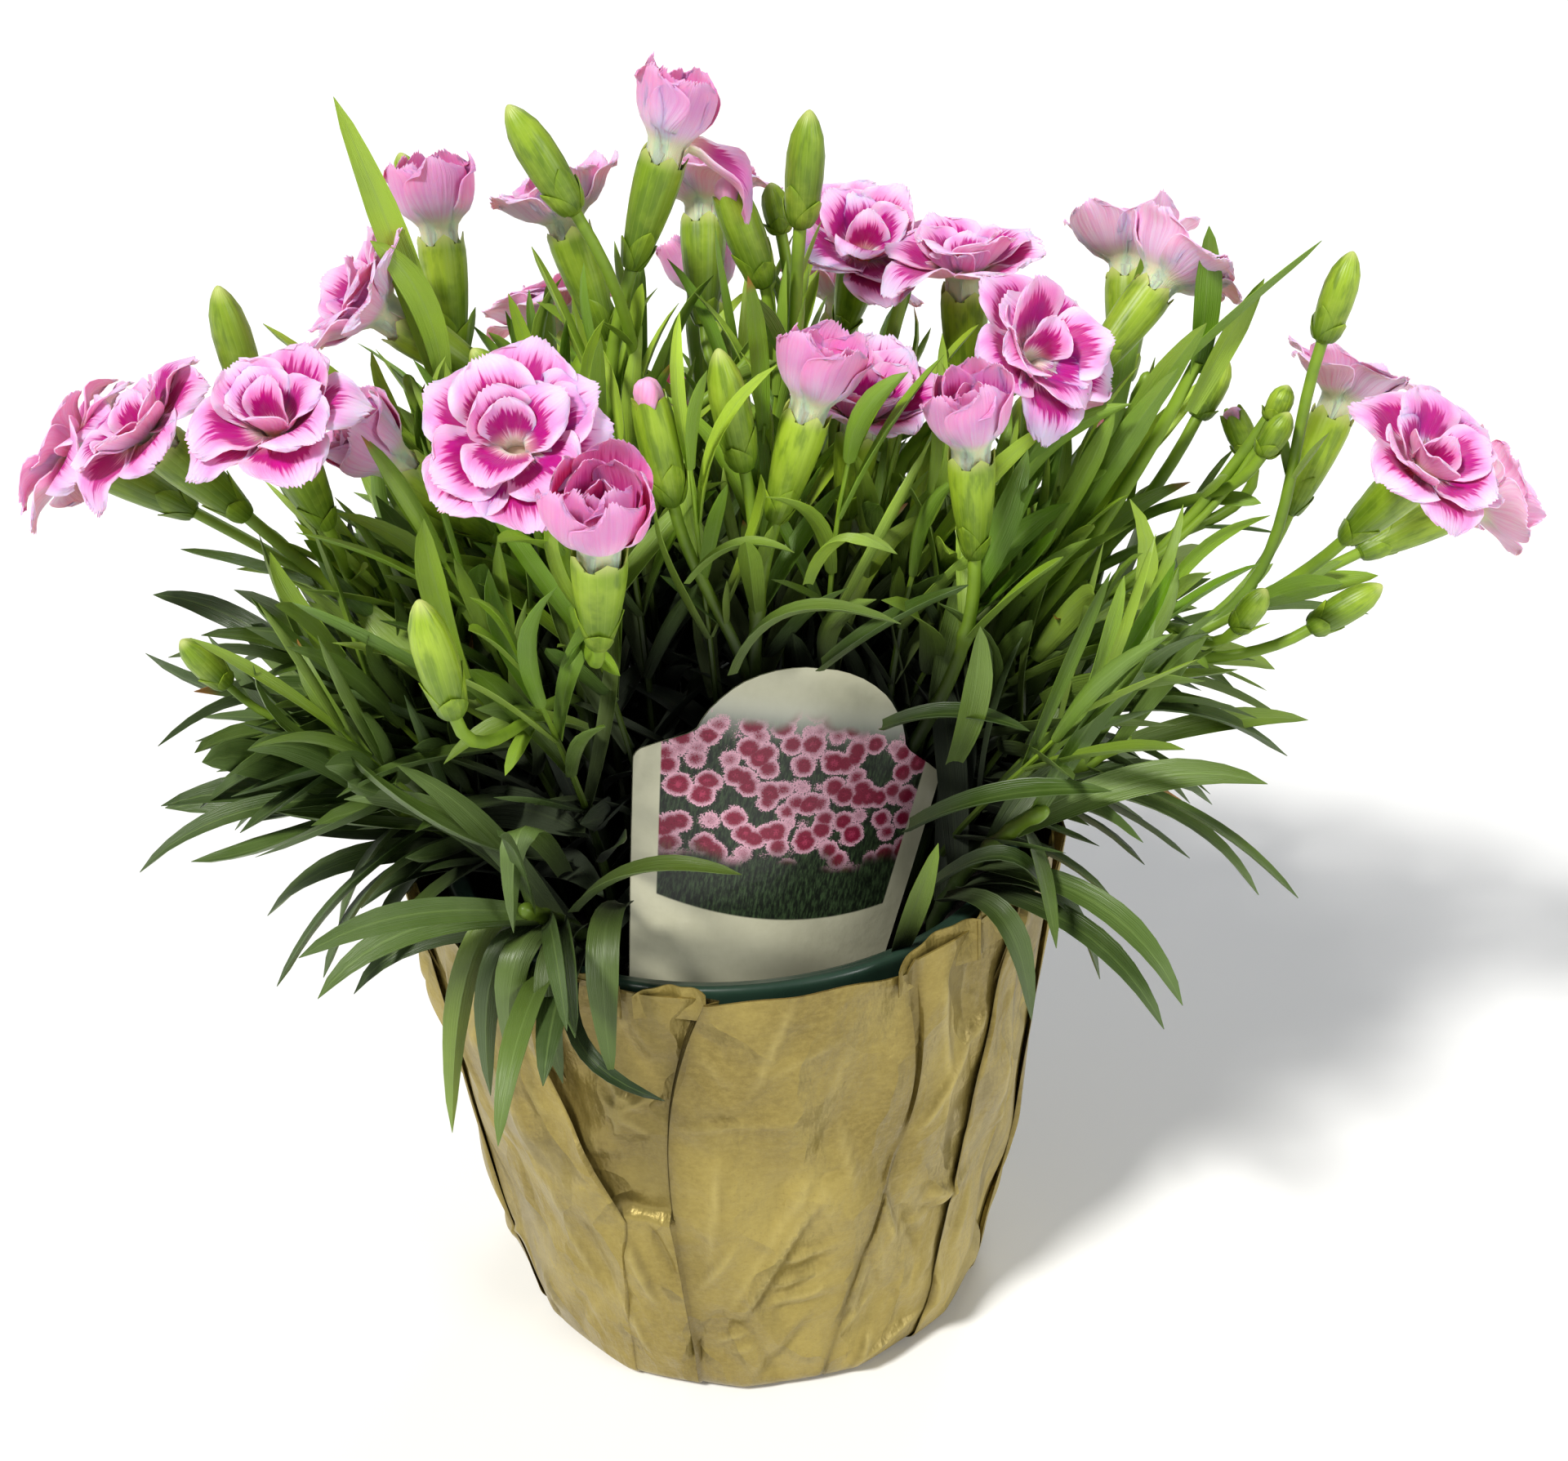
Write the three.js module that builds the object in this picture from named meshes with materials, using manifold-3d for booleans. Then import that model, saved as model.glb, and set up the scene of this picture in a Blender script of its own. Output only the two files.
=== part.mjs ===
// A pot-grown dianthus in flower: a plastic nursery pot in a pleated paper wrap, potting soil, a plain
// plant label, leafy stems and pink blooms. Millimetres, +Z up, origin at the centre of the wrap's base.
// Angles that turn about +Z are in degrees from +X towards +Y; the front of the pot faces -Y.
import * as THREE from "three";
import { mergeVertices } from "three/addons/utils/BufferGeometryUtils.js";
import Module from "manifold-3d";

const wasm = await Module();
wasm.setup();

// ---- Driving dimensions ----
const CLEARANCE = 0.35; // air between two pieces that touch
const WRAP = {
  baseRadius: 48.2, topRadius: 62.2, height: 102, belly: 1.4, paper: 0.8, heelHeight: 3.5, heelInset: 3,
};
const POT = {
  baseRadius: 40.5, topRadius: 51.8, height: 99, wall: 1.1, sides: 24,
  lipRadius: 55.6, lipHeight: 8, lipBulge: 0.4, lipRound: 0.6, lipInset: 0.4,
};
const DRAIN = { count: 4, radius: 3, circle: 26, sides: 6 };
const SOIL = { depth: 88, bump: 1.4, rings: 3, sides: 20, slack: 0.25, footInset: 0.6 };
const SOCKET_DEPTH = 12; // how far a stem's foot stands in the soil
const SPROUT = 2.5; // how far a stem rises straight out of the soil
const LABEL = { thickness: 0.8, bow: 90, foot: [5.5, -37], turn: 22, lean: -8, slant: 17, stakeTip: 70 };
const SIDES = 5; // of a stem, a stalk, a calyx and a bud
const STEM = { radius: 1.4, tip: 1.15, stalk: 1.05, nodeHeight: 2.6 };
const CALYX = { length: 19, radius: 3.3, mouth: 3.7, lining: 2.9, socket: 6 };
const THROAT = { radius: 2.4, rise: 3.2, core: 8 };
const BUD = { radius: 3.4 };
const PETAL = { length: 13.2, width: 11.4, thickness: 1.1, innerLength: 0.74, innerWidth: 0.58 };
const INNER_PETALS = [0, 2, 3]; // the places of five at which a bloom has an inner petal
// Steps along the midrib, how far the flat upper face lies above it, and the keel's depth below that face.
const LEAF = { steps: 12, face: 0.25, keel: 1.15 };
// How much leaves differ, in degrees and as shares of their size, and what each further try adds.
const LEAF_RANGE = { facing: 20, spread: 24, size: 0.24, sag: 1 };
const NEXT_TRY = { tries: 40, facing: 1.1, lift: 0.012, shorter: 0.011 };

const POT_FLOOR = WRAP.paper + CLEARANCE;
const SOIL_FLOOR = POT_FLOOR + POT.wall + CLEARANCE;
const SOIL_TOP = SOIL_FLOOR + SOIL.depth;

// ---- Small helpers ----
const UP = new THREE.Vector3(0, 0, 1);
const radians = THREE.MathUtils.degToRad;
const vec = (x, y, z) => new THREE.Vector3(x, y, z);
const along = (turn, rise) => {
  const flat = Math.cos(radians(rise));
  return vec(flat * Math.cos(radians(turn)), flat * Math.sin(radians(turn)), Math.sin(radians(rise)));
};
const mix = (a, b, t) => a + (b - a) * t;

// A repeatable stream of numbers from 0 to 1. The first two are near each other for near seeds, so they go.
const STREAM = { seedStep: 7919, seedStart: 104729, factor: 48271, modulus: 2147483647 };
function draws(seed) {
  let state = (seed * STREAM.seedStep + STREAM.seedStart) % STREAM.modulus;
  const next = () => (state = (state * STREAM.factor) % STREAM.modulus) / STREAM.modulus;
  next();
  next();
  return next;
}
const vary = (draw, range) => 1 + range * (draw() - 0.5);

// A closed geometry from points and triangles, turned so that its faces point out.
function closedGeometry(points, triangles) {
  const volume = triangles.reduce((sum, [a, b, c]) => {
    const cross = points[b].clone().cross(points[c]);
    return sum + points[a].dot(cross);
  }, 0);
  const facing = volume < 0 ? triangles.map(([a, b, c]) => [a, c, b]) : triangles;
  const geometry = new THREE.BufferGeometry().setFromPoints(points);
  geometry.setIndex(facing.flat());
  return geometry;
}

// Two triangles for each side of a ring of points joined to the next ring. mirrored takes each side's other
// diagonal, so that both faces of a thin wall are split alike.
function band(lower, upper, count, mirrored) {
  return Array.from({ length: count }, (_, i) => {
    const j = (i + 1) % count;
    const third = mirrored ? upper + i : upper + j;
    return [
      [lower + i, lower + j, third],
      [mirrored ? lower + j : lower + i, upper + j, upper + i],
    ];
  }).flat();
}

// One triangle for each side of a ring of points joined to a single point.
function fan(ring, tip, count) {
  return Array.from({ length: count }, (_, i) => [ring + i, ring + ((i + 1) % count), tip]);
}

// Rings of points from foot to head, closed by a point at each end. Bands from the one numbered inner on
// are the inside of a wall.
function ringed(foot, rings, head, inner = rings.length) {
  const count = rings[0].length;
  const points = [foot, ...rings.flat(), head];
  const triangles = fan(1, 0, count).map(([a, b, c]) => [b, a, c]);
  for (let r = 0; r + 1 < rings.length; r++) {
    triangles.push(...band(1 + r * count, 1 + (r + 1) * count, count, r >= inner));
  }
  triangles.push(...fan(1 + (rings.length - 1) * count, points.length - 1, count));
  return closedGeometry(points, triangles);
}

// A turned shape about its own +Z from [radius, height] pairs, the first and last of them on the axis.
function turned(profile, sides) {
  const ringAt = ([radius, height]) =>
    Array.from({ length: sides }, (_, i) => {
      const angle = (i / sides) * Math.PI * 2;
      return vec(radius * Math.cos(angle), radius * Math.sin(angle), height);
    });
  const [first, last] = [profile[0], profile.at(-1)];
  return ringed(vec(0, 0, first[1]), profile.slice(1, -1).map(ringAt), vec(0, 0, last[1]));
}

function toSolid(geometry, matrix) {
  const bare = new THREE.BufferGeometry();
  bare.setAttribute("position", geometry.getAttribute("position").clone());
  if (geometry.index) bare.setIndex(geometry.index.clone());
  if (matrix) bare.applyMatrix4(matrix);
  const merged = mergeVertices(bare, 1e-4);
  const vertProperties = merged.getAttribute("position").array;
  const triVerts = new Uint32Array(merged.index.array);
  return new wasm.Manifold(new wasm.Mesh({ numProp: 3, vertProperties, triVerts }));
}

function toGeometry(solid) {
  const { vertProperties, triVerts } = solid.getMesh();
  const geometry = new THREE.BufferGeometry();
  geometry.setAttribute("position", new THREE.BufferAttribute(vertProperties, 3));
  geometry.setIndex(new THREE.BufferAttribute(triVerts, 1));
  geometry.computeVertexNormals();
  return geometry;
}

const union = (solids) => solids.reduce((whole, next) => whole.add(next));

const finish = (color, roughness) => new THREE.MeshStandardMaterial({ color, roughness, metalness: 0 });
const MATERIALS = {
  paper: finish(0xb59a5e, 0.75),
  plastic: finish(0x24483f, 0.4),
  soil: finish(0x2a211a, 0.95),
  label: finish(0xd9d8d0, 0.35),
  green: finish(0x4c7a2c, 0.6),
  pink: finish(0xe58cc4, 0.55),
};

const plant = new THREE.Group();
function addMesh(name, geometry, material) {
  const mesh = new THREE.Mesh(geometry, material);
  mesh.name = name;
  plant.add(mesh);
  return mesh;
}

// ---- Paper wrap: panels of paper that overlap in pleats round a tapered cup ----
// Each panel's two edges at the top and at the base, in degrees from the front towards +X, how far each
// edge stands off the cup, and how far the panel's top lies above or below the wrap's height.
const PANELS = [
  { top: [-4, 29], base: [-13, 15], stand: [0.6, 0.9], crest: -0.5 },
  { top: [31, 53], base: [16, 40], stand: [0.9, 0.2], crest: 1.5 },
  { top: [54, 79], base: [41, 68], stand: [1.9, 0.5], crest: 2 },
  { top: [80, 103], base: [69, 97], stand: [2.0, 0.3], crest: 0.5 },
  { top: [104, 127], base: [98, 121], stand: [2.2, 0.4], crest: 1 },
  { top: [128, 152], base: [122, 148], stand: [1.8, 0.2], crest: -0.5 },
  { top: [153, 176], base: [149, 171], stand: [2.1, 0.5], crest: 0.5 },
  { top: [177, 203], base: [172, 197], stand: [1.9, 0.3], crest: 1 },
  { top: [204, 226], base: [198, 223], stand: [2.2, 0.6], crest: 0 },
  { top: [227, 250], base: [224, 246], stand: [1.8, 0.3], crest: 1.5 },
  { top: [251, 268], base: [247, 268], stand: [0.4, 2.0], crest: 1 },
  { top: [269, 291], base: [269, 294], stand: [0.3, 1.9], crest: 0.5 },
  { top: [292, 315], base: [295, 330], stand: [0.4, 2.4], crest: -1 },
  { top: [316, 355], base: [331, 346], stand: [-0.2, -1], crest: 0 },
];
const WRAP_ROWS = [0, WRAP.heelHeight / WRAP.height, 0.5, 1];

function wrapPoint(panel, share, row, inset) {
  const angle = radians(mix(mix(...panel.base, share), mix(...panel.top, share), row) - 90);
  const stand = mix(...panel.stand, share) * mix(0.45, 1, row);
  const heel = row === 0 ? WRAP.heelInset : 0;
  const belly = WRAP.belly * Math.sin(Math.PI * row);
  const radius = mix(WRAP.baseRadius, WRAP.topRadius, row) + belly + stand - heel - inset;
  const height = row * (WRAP.height + panel.crest);
  return vec(radius * Math.cos(angle), radius * Math.sin(angle), Math.max(height, inset));
}

function wrapGeometry() {
  const columns = PANELS.flatMap((panel) => [0, 0.5, 1].map((share) => [panel, share]));
  const ring = (row, inset) => columns.map(([panel, share]) => wrapPoint(panel, share, row, inset));
  const outside = WRAP_ROWS.map((row) => ring(row, 0));
  const inside = WRAP_ROWS.map((row) => ring(row, WRAP.paper)).reverse();
  return ringed(vec(0, 0, 0), [...outside, ...inside], vec(0, 0, WRAP.paper), WRAP_ROWS.length);
}
const wrap = addMesh("paper_wrap", wrapGeometry(), MATERIALS.paper);

// ---- Nursery pot ----
function potGeometry() {
  const lipFoot = POT.height - POT.lipHeight;
  const profile = [
    [0, 0],
    [POT.baseRadius, 0],
    [POT.topRadius, lipFoot],
    [POT.lipRadius, lipFoot],
    [POT.lipRadius + POT.lipBulge, POT.height - 1],
    [POT.lipRadius - POT.lipRound, POT.height],
    [POT.topRadius + POT.lipInset, POT.height],
    [POT.topRadius - POT.wall, lipFoot - 1],
    [POT.baseRadius - POT.wall, POT.wall],
    [0, POT.wall],
  ];
  const cup = toSolid(turned(profile, POT.sides));
  const drains = Array.from({ length: DRAIN.count }, (_, i) => {
    const centre = along((i * 360) / DRAIN.count, 0).multiplyScalar(DRAIN.circle);
    const bit = new THREE.CylinderGeometry(DRAIN.radius, DRAIN.radius, POT.wall * 4, DRAIN.sides);
    return toSolid(bit.rotateX(Math.PI / 2).translate(centre.x, centre.y, POT.wall / 2));
  });
  return toGeometry(drains.reduce((rest, bit) => rest.subtract(bit), cup));
}
const pot = addMesh("nursery_pot", potGeometry(), MATERIALS.plastic);
pot.position.z = POT_FLOOR;

// ---- Plant label: a bowed plastic card with an arched head, whose stake stands in the soil ----
// [height above the soil's top, half width] from the stake's tip to the arch's crown.
const LABEL_SHAPE = [
  [LABEL.stakeTip - SOIL_TOP, 2],
  [-11, 14],
  [3, 25.5],
  [38, 30.5],
  [39.6, 29.6],
  [43, 22],
  [44.5, 20.4],
  [49, 18.4],
  [53, 14.6],
  [56, 9],
  [57.3, 3],
];
const LABEL_COLUMNS = [-1, -0.5, 0, 0.5, 1];

function labelGeometry(grow) {
  const thick = LABEL.thickness / 2 + grow;
  const card = ([height, half], side) =>
    LABEL_COLUMNS.map((share) => {
      const across = share * (half + grow);
      return vec(across, across ** 2 / (2 * LABEL.bow) + side * thick, height);
    });
  const rings = LABEL_SHAPE.map((row) => [...card(row, -1), ...card(row, 1).reverse()]);
  const [foot, head] = [LABEL_SHAPE[0][0] - grow, LABEL_SHAPE.at(-1)[0] + grow];
  return ringed(vec(0, 0, foot), rings, vec(0, 0, head));
}
const label = addMesh("plant_label", labelGeometry(0), MATERIALS.label);
label.position.set(...LABEL.foot, SOIL_TOP);
label.rotation.set(radians(LABEL.lean), radians(LABEL.slant), radians(LABEL.turn), "ZXY");
label.updateMatrixWorld(true);

// ---- Flowering stems ----
// foot: where the stem leaves the soil. pairs: pairs of leaves. heads: its flowers and buds. A head's at
// is the calyx's mouth or the bud's tip, turn and rise its direction, open how far a flower is open from
// 0 to 1, and bud a bud's length. The stem runs to its first head; the others fork off it at fork.
const STEMS = {
  a: { foot: [-24, -6], pairs: 4, heads: [
    { at: [-92, -15, 188], turn: -155, rise: 52, open: 1 },
    { at: [-109, 0, 181], turn: 176, rise: 32, open: 0.95, fork: 0.6 },
    { at: [-67, -34, 194], turn: -110, rise: 64, open: 1, fork: 0.62 },
    { at: [-80, -10, 214], turn: -120, rise: 80, bud: 22, fork: 0.5 },
  ] },
  b: { foot: [-13, -11], pairs: 3, heads: [
    { at: [-52, -13, 181], turn: -165, rise: 46, open: 0.45 },
    { at: [-39, -9, 201], turn: -163, rise: 60, bud: 12, fork: 0.6 },
  ] },
  c: { foot: [-16, 4], pairs: 4, heads: [
    { at: [-46, 16, 213], turn: 107, rise: 81, open: 0.25 },
    { at: [-52, 1, 203], turn: -170, rise: 40, open: 0.8, fork: 0.62 },
    { at: [-54, 32, 226], turn: 165, rise: 76, bud: 12, fork: 0.6 },
  ] },
  d: { foot: [-22, -19], pairs: 4, heads: [
    { at: [-27, -57, 199], turn: -94, rise: 38, open: 1 },
    { at: [-15, -70, 187], turn: -75, rise: 68, open: 0.2, fork: 0.6 },
    { at: [-42, -72, 182], turn: -115, rise: 76, bud: 22, fork: 0.4 },
  ] },
  e: { foot: [-8, 9], pairs: 4, heads: [
    { at: [-23, 17, 213], turn: 150, rise: 72, open: 0.9 },
    { at: [-29, -9, 241], turn: 180, rise: 62, bud: 20, fork: 0.66 },
  ] },
  f: { foot: [-2, -3], pairs: 4, heads: [
    { at: [-5, 0, 229], turn: 0, rise: 70, open: 0.3 },
    { at: [5, 4, 225], turn: -175, rise: 72, bud: 20, fork: 0.6 },
  ] },
  g: { foot: [5, 8], pairs: 4, heads: [
    { at: [20, 2, 236], turn: -34, rise: 82, bud: 20 },
    { at: [13, 12, 222], turn: 160, rise: 80, bud: 9, fork: 0.75 },
    { at: [0, 42, 208], turn: 85, rise: 66, open: 0.9, fork: 0.62 },
  ] },
  h: { foot: [9, -8], pairs: 4, heads: [
    { at: [26.5, -3.5, 181], turn: -70, rise: 70, open: 0.75 },
    { at: [29, 30, 202], turn: -75, rise: 54, open: 0.9, fork: 0.5 },
  ] },
  j: { foot: [2, -13], pairs: 4, heads: [
    { at: [17, -21, 190], turn: 0, rise: 72, open: 0.25 },
    { at: [3, -22, 203], turn: -150, rise: 80, bud: 22, fork: 0.6 },
    { at: [-9, -27, 200], turn: -140, rise: 80, bud: 23, fork: 0.5 },
  ] },
  l: { foot: [21, -8], pairs: 4, heads: [
    { at: [44, -28, 184], turn: -105, rise: 80, open: 0.3 },
  ] },
  m: { foot: [18, -2], pairs: 4, heads: [
    { at: [54, -8, 193.5], turn: -46, rise: 36, open: 1 },
    { at: [47, 14, 200], turn: -90, rise: 86, open: 0.95, fork: 0.62 },
  ] },
  n: { foot: [19, 14], pairs: 4, heads: [
    { at: [79, 6, 201], turn: 25, rise: 45, open: 1 },
    { at: [79, 30, 197], turn: 80, rise: 64, open: 0.7, fork: 0.6 },
  ] },
  o: { foot: [27, 3], pairs: 4, heads: [
    { at: [95, 14, 186], turn: 10, rise: 64, bud: 12 },
    { at: [102, -6, 182], turn: -10, rise: 62, bud: 9, fork: 0.75 },
    { at: [98, -14, 152], turn: -27, rise: 60, bud: 10, fork: 0.6 },
    { at: [95, 9, 178], turn: 180, rise: 66, bud: 10, fork: 0.62 },
  ] },
  p: { foot: [27, -10], pairs: 4, heads: [
    { at: [120, -20, 174], turn: -52, rise: 50, open: 1 },
    { at: [137, 8, 157], turn: 12, rise: 20, open: 0.95, fork: 0.64 },
    { at: [116, 18, 172], turn: 30, rise: 62, open: 0.75, fork: 0.6 },
    { at: [112, -2, 209], turn: 10, rise: 74, bud: 16, fork: 0.68 },
    { at: [120, -10, 150], turn: -8, rise: 36, bud: 15, fork: 0.5 },
  ] },
  t: { foot: [-13, 19], pairs: 4, heads: [
    { at: [-32, 70, 178], turn: 120, rise: 62, open: 0.9 },
  ] },
  u: { foot: [2, 21], pairs: 4, heads: [
    { at: [0, 62, 186], turn: 110, rise: 70, open: 0.3 },
    { at: [26, 64, 181], turn: 60, rise: 64, open: 0.9, fork: 0.62 },
  ] },
  w: { foot: [-4, 32], pairs: 4, heads: [
    { at: [-12, 92, 150], turn: 98, rise: 40, open: 1 },
    { at: [-44, 90, 148], turn: 118, rise: 55, bud: 20, fork: 0.5 },
  ] },
  x: { foot: [16, 26], pairs: 4, heads: [
    { at: [66, 66, 160], turn: 50, rise: 44, open: 1 },
  ] },
};

// ---- Leafy shoots: stems with no flower. The low ones spread over the rim, the tall ones stand upright ----
// foot and pairs as above, turn and reach: which way and how far the shoot leans, height: of its tip over
// the soil.
const SHOOTS = {
  right: { foot: [38, 5], turn: 8, reach: 44, height: 42, pairs: 7 },
  back_right: { foot: [27, 32], turn: 52, reach: 36, height: 34, pairs: 6 },
  back_left: { foot: [-18, 38], turn: 118, reach: 34, height: 34, pairs: 6 },
  left_rear: { foot: [-34, 21], turn: 152, reach: 40, height: 36, pairs: 6 },
  left: { foot: [-39, 1], turn: 180, reach: 38, height: 46, pairs: 7 },
  left_low: { foot: [-37, -16], turn: 203, reach: 30, height: 34, pairs: 7 },
  front_left: { foot: [-24, -35], turn: 243, reach: 22, height: 24, pairs: 6 },
  front_right: { foot: [37, -27], turn: 318, reach: 24, height: 32, pairs: 6 },
  right_low: { foot: [42, -11], turn: 344, reach: 32, height: 33, pairs: 7 },
  tall_left: { foot: [-21, 0], turn: 180, reach: 31, height: 100, pairs: 6, upright: true },
  tall_right: { foot: [32, -2], turn: 4, reach: 46, height: 94, pairs: 6, upright: true },
};
// The three habits of growth. leaving: how a stem leaves the soil, as a share outwards for one upwards on a
// flowering stem and as its rise in degrees on a shoot, which arrives at the rise arriving. from and to: the
// first and the last pair's places on the stem. low and high: the leaves there.
const FLOWERING = {
  leaving: 0.35, from: 0.12, to: 0.8,
  low: { spread: 50, length: 50, width: 6.2, sag: 0.16 },
  high: { spread: 32, length: 27, width: 4.4, sag: 0.05 },
};
const SPREADING = {
  leaving: 66, arriving: 40, from: 0.14, to: 0.96,
  low: { spread: 58, length: 48, width: 6.2, sag: 0.2 },
  high: { spread: 34, length: 40, width: 5.2, sag: 0.12 },
};
const UPRIGHT = {
  leaving: 80, arriving: 72, from: 0.3, to: 0.97,
  low: { spread: 36, length: 40, width: 5.6, sag: 0.1 },
  high: { spread: 15, length: 42, width: 5.2, sag: 0.02 },
};

// A smooth path from start to end that leaves along one direction and arrives along the other.
const ARCH = 0.38; // how far the curve's handles reach, as a share of the distance
function archedPath(start, leaving, end, arriving) {
  const reach = start.distanceTo(end) * ARCH;
  const first = start.clone().addScaledVector(leaving, reach);
  const second = end.clone().addScaledVector(arriving, -reach);
  return new THREE.CubicBezierCurve3(start, first, second, end);
}

// A ring of points round a centre, square to a direction.
function ringRound(centre, direction, radius) {
  const frame = new THREE.Quaternion().setFromUnitVectors(UP, direction);
  return Array.from({ length: SIDES }, (_, k) => {
    const angle = (k / SIDES) * Math.PI * 2;
    const offset = vec(radius * Math.cos(angle), radius * Math.sin(angle), 0);
    return offset.applyQuaternion(frame).add(centre);
  });
}

const headLength = (head) => head.bud ?? CALYX.length;
const headMatrix = (head) => {
  const turn = new THREE.Quaternion().setFromUnitVectors(UP, along(head.turn, head.rise));
  return new THREE.Matrix4().compose(vec(...head.at), turn, vec(1, 1, 1));
};
const headFoot = (head) => vec(...head.at).addScaledVector(along(head.turn, head.rise), -headLength(head));

// A calyx is a cup that opens at the mouth, with a socket for the bloom's throat; a bud is closed. Both are
// [radius, height] pairs on from the stalk's end, the last of them on the axis. The mouth or tip is at 0.
const calyxProfile = () => [
  [CALYX.radius - 0.5, 3.5 - CALYX.length],
  [CALYX.mouth, 0.4],
  [CALYX.lining + 0.15, 0.4],
  [CALYX.lining, -CALYX.socket],
  [0, -CALYX.socket],
];
function budProfile(length) {
  const width = BUD.radius * Math.min(1, 0.5 + length / 40);
  return [
    [width * 0.88, -length * 0.76],
    [width, -length * 0.38],
    [width * 0.6, -length * 0.1],
    [0, 0],
  ];
}
function headRings(head) {
  const profile = head.bud ? budProfile(head.bud) : calyxProfile();
  const direction = along(head.turn, head.rise);
  const centre = (height) => vec(...head.at).addScaledVector(direction, height);
  const rings = profile.slice(0, -1).map(([radius, height]) => ringRound(centre(height), direction, radius));
  return { rings, tip: centre(profile.at(-1)[1]) };
}

// Raises a blade from a triangle of a skin, whose corners are the blade's left, keel and right: rings of
// three points, then the points of its outer edge from left to right.
function raiseBlade(points, triangles, root, rings, edge) {
  let last = root;
  for (const ring of rings) {
    const first = points.push(...ring) - 3;
    const next = [first, first + 1, first + 2];
    for (const [i, j] of [[0, 1], [1, 2], [2, 0]]) {
      triangles.push([last[i], last[j], next[j]], [last[i], next[j], next[i]]);
    }
    last = next;
  }
  const first = points.push(...edge) - edge.length;
  const [left, keel, right] = last;
  const outer = edge.map((_, i) => first + i);
  const middle = outer[(outer.length - 1) / 2];
  const below = [left, ...outer, right];
  for (let i = 0; i + 1 < below.length; i++) triangles.push([below[i], keel, below[i + 1]]);
  const half = outer.indexOf(middle);
  const above = [...outer.slice(half + 1), right, left, ...outer.slice(0, half)];
  for (let i = 0; i + 1 < above.length; i++) triangles.push([above[i], above[i + 1], middle]);
}

// A stem's skin: rings of points from foot to tip. A blade grows out of the facet of the skin that it
// names, in place of one of that facet's two triangles.
function stemSkin(foot, rings, tip, blades) {
  const points = [foot, ...rings.flat(), tip];
  const triangles = fan(1, 0, SIDES).map(([a, b, c]) => [b, a, c]);
  for (let r = 0; r + 1 < rings.length; r++) {
    const [lower, upper] = [1 + r * SIDES, 1 + (r + 1) * SIDES];
    const facets = band(lower, upper, SIDES);
    for (const blade of blades.filter((one) => one.band === r)) {
      const next = (blade.facet + 1) % SIDES;
      facets[2 * blade.facet + 1] = null;
      const root = [upper + blade.facet, lower + blade.facet, upper + next];
      raiseBlade(points, triangles, root, blade.rings, [blade.tip]);
    }
    triangles.push(...facets.filter(Boolean));
  }
  triangles.push(...fan(1 + (rings.length - 1) * SIDES, 1 + rings.length * SIDES, SIDES));
  return closedGeometry(points, triangles);
}

// ---- Petals ----
// One petal in the bloom's own frame, leaning out from the axis at an angle round it: an arched fan with a
// notched outer edge. Its rings lie at the shares of its length and width in outline. An outline's entry and
// a point of the edge give the share of the length, the share of the width and the lift in millimetres.
const PETAL_EDGE = [[0.99, -0.27, 0.4], [0.93, 0, 0.1], [0.99, 0.27, 0.4]];
function petalRings({ angle, spread, droop, length, width, root }, outline) {
  const outwards = along(angle, 0);
  const across = along(angle + 90, 0);
  const tilt = radians(spread);
  const at = (reach, side, lift) => {
    const bend = tilt + droop * reach * reach;
    const run = length * reach;
    return vec(0, 0, root[1])
      .addScaledVector(outwards, root[0] + run * Math.sin(bend) - lift * Math.cos(bend))
      .addScaledVector(UP, run * Math.cos(bend) + lift * Math.sin(bend))
      .addScaledVector(across, side * width);
  };
  const rings = outline.map(([reach, half, cup]) => [
    at(reach, -half, cup), at(reach, 0, -PETAL.thickness), at(reach, half, cup),
  ]);
  return { rings, edge: PETAL_EDGE.map((point) => at(...point)) };
}

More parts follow.
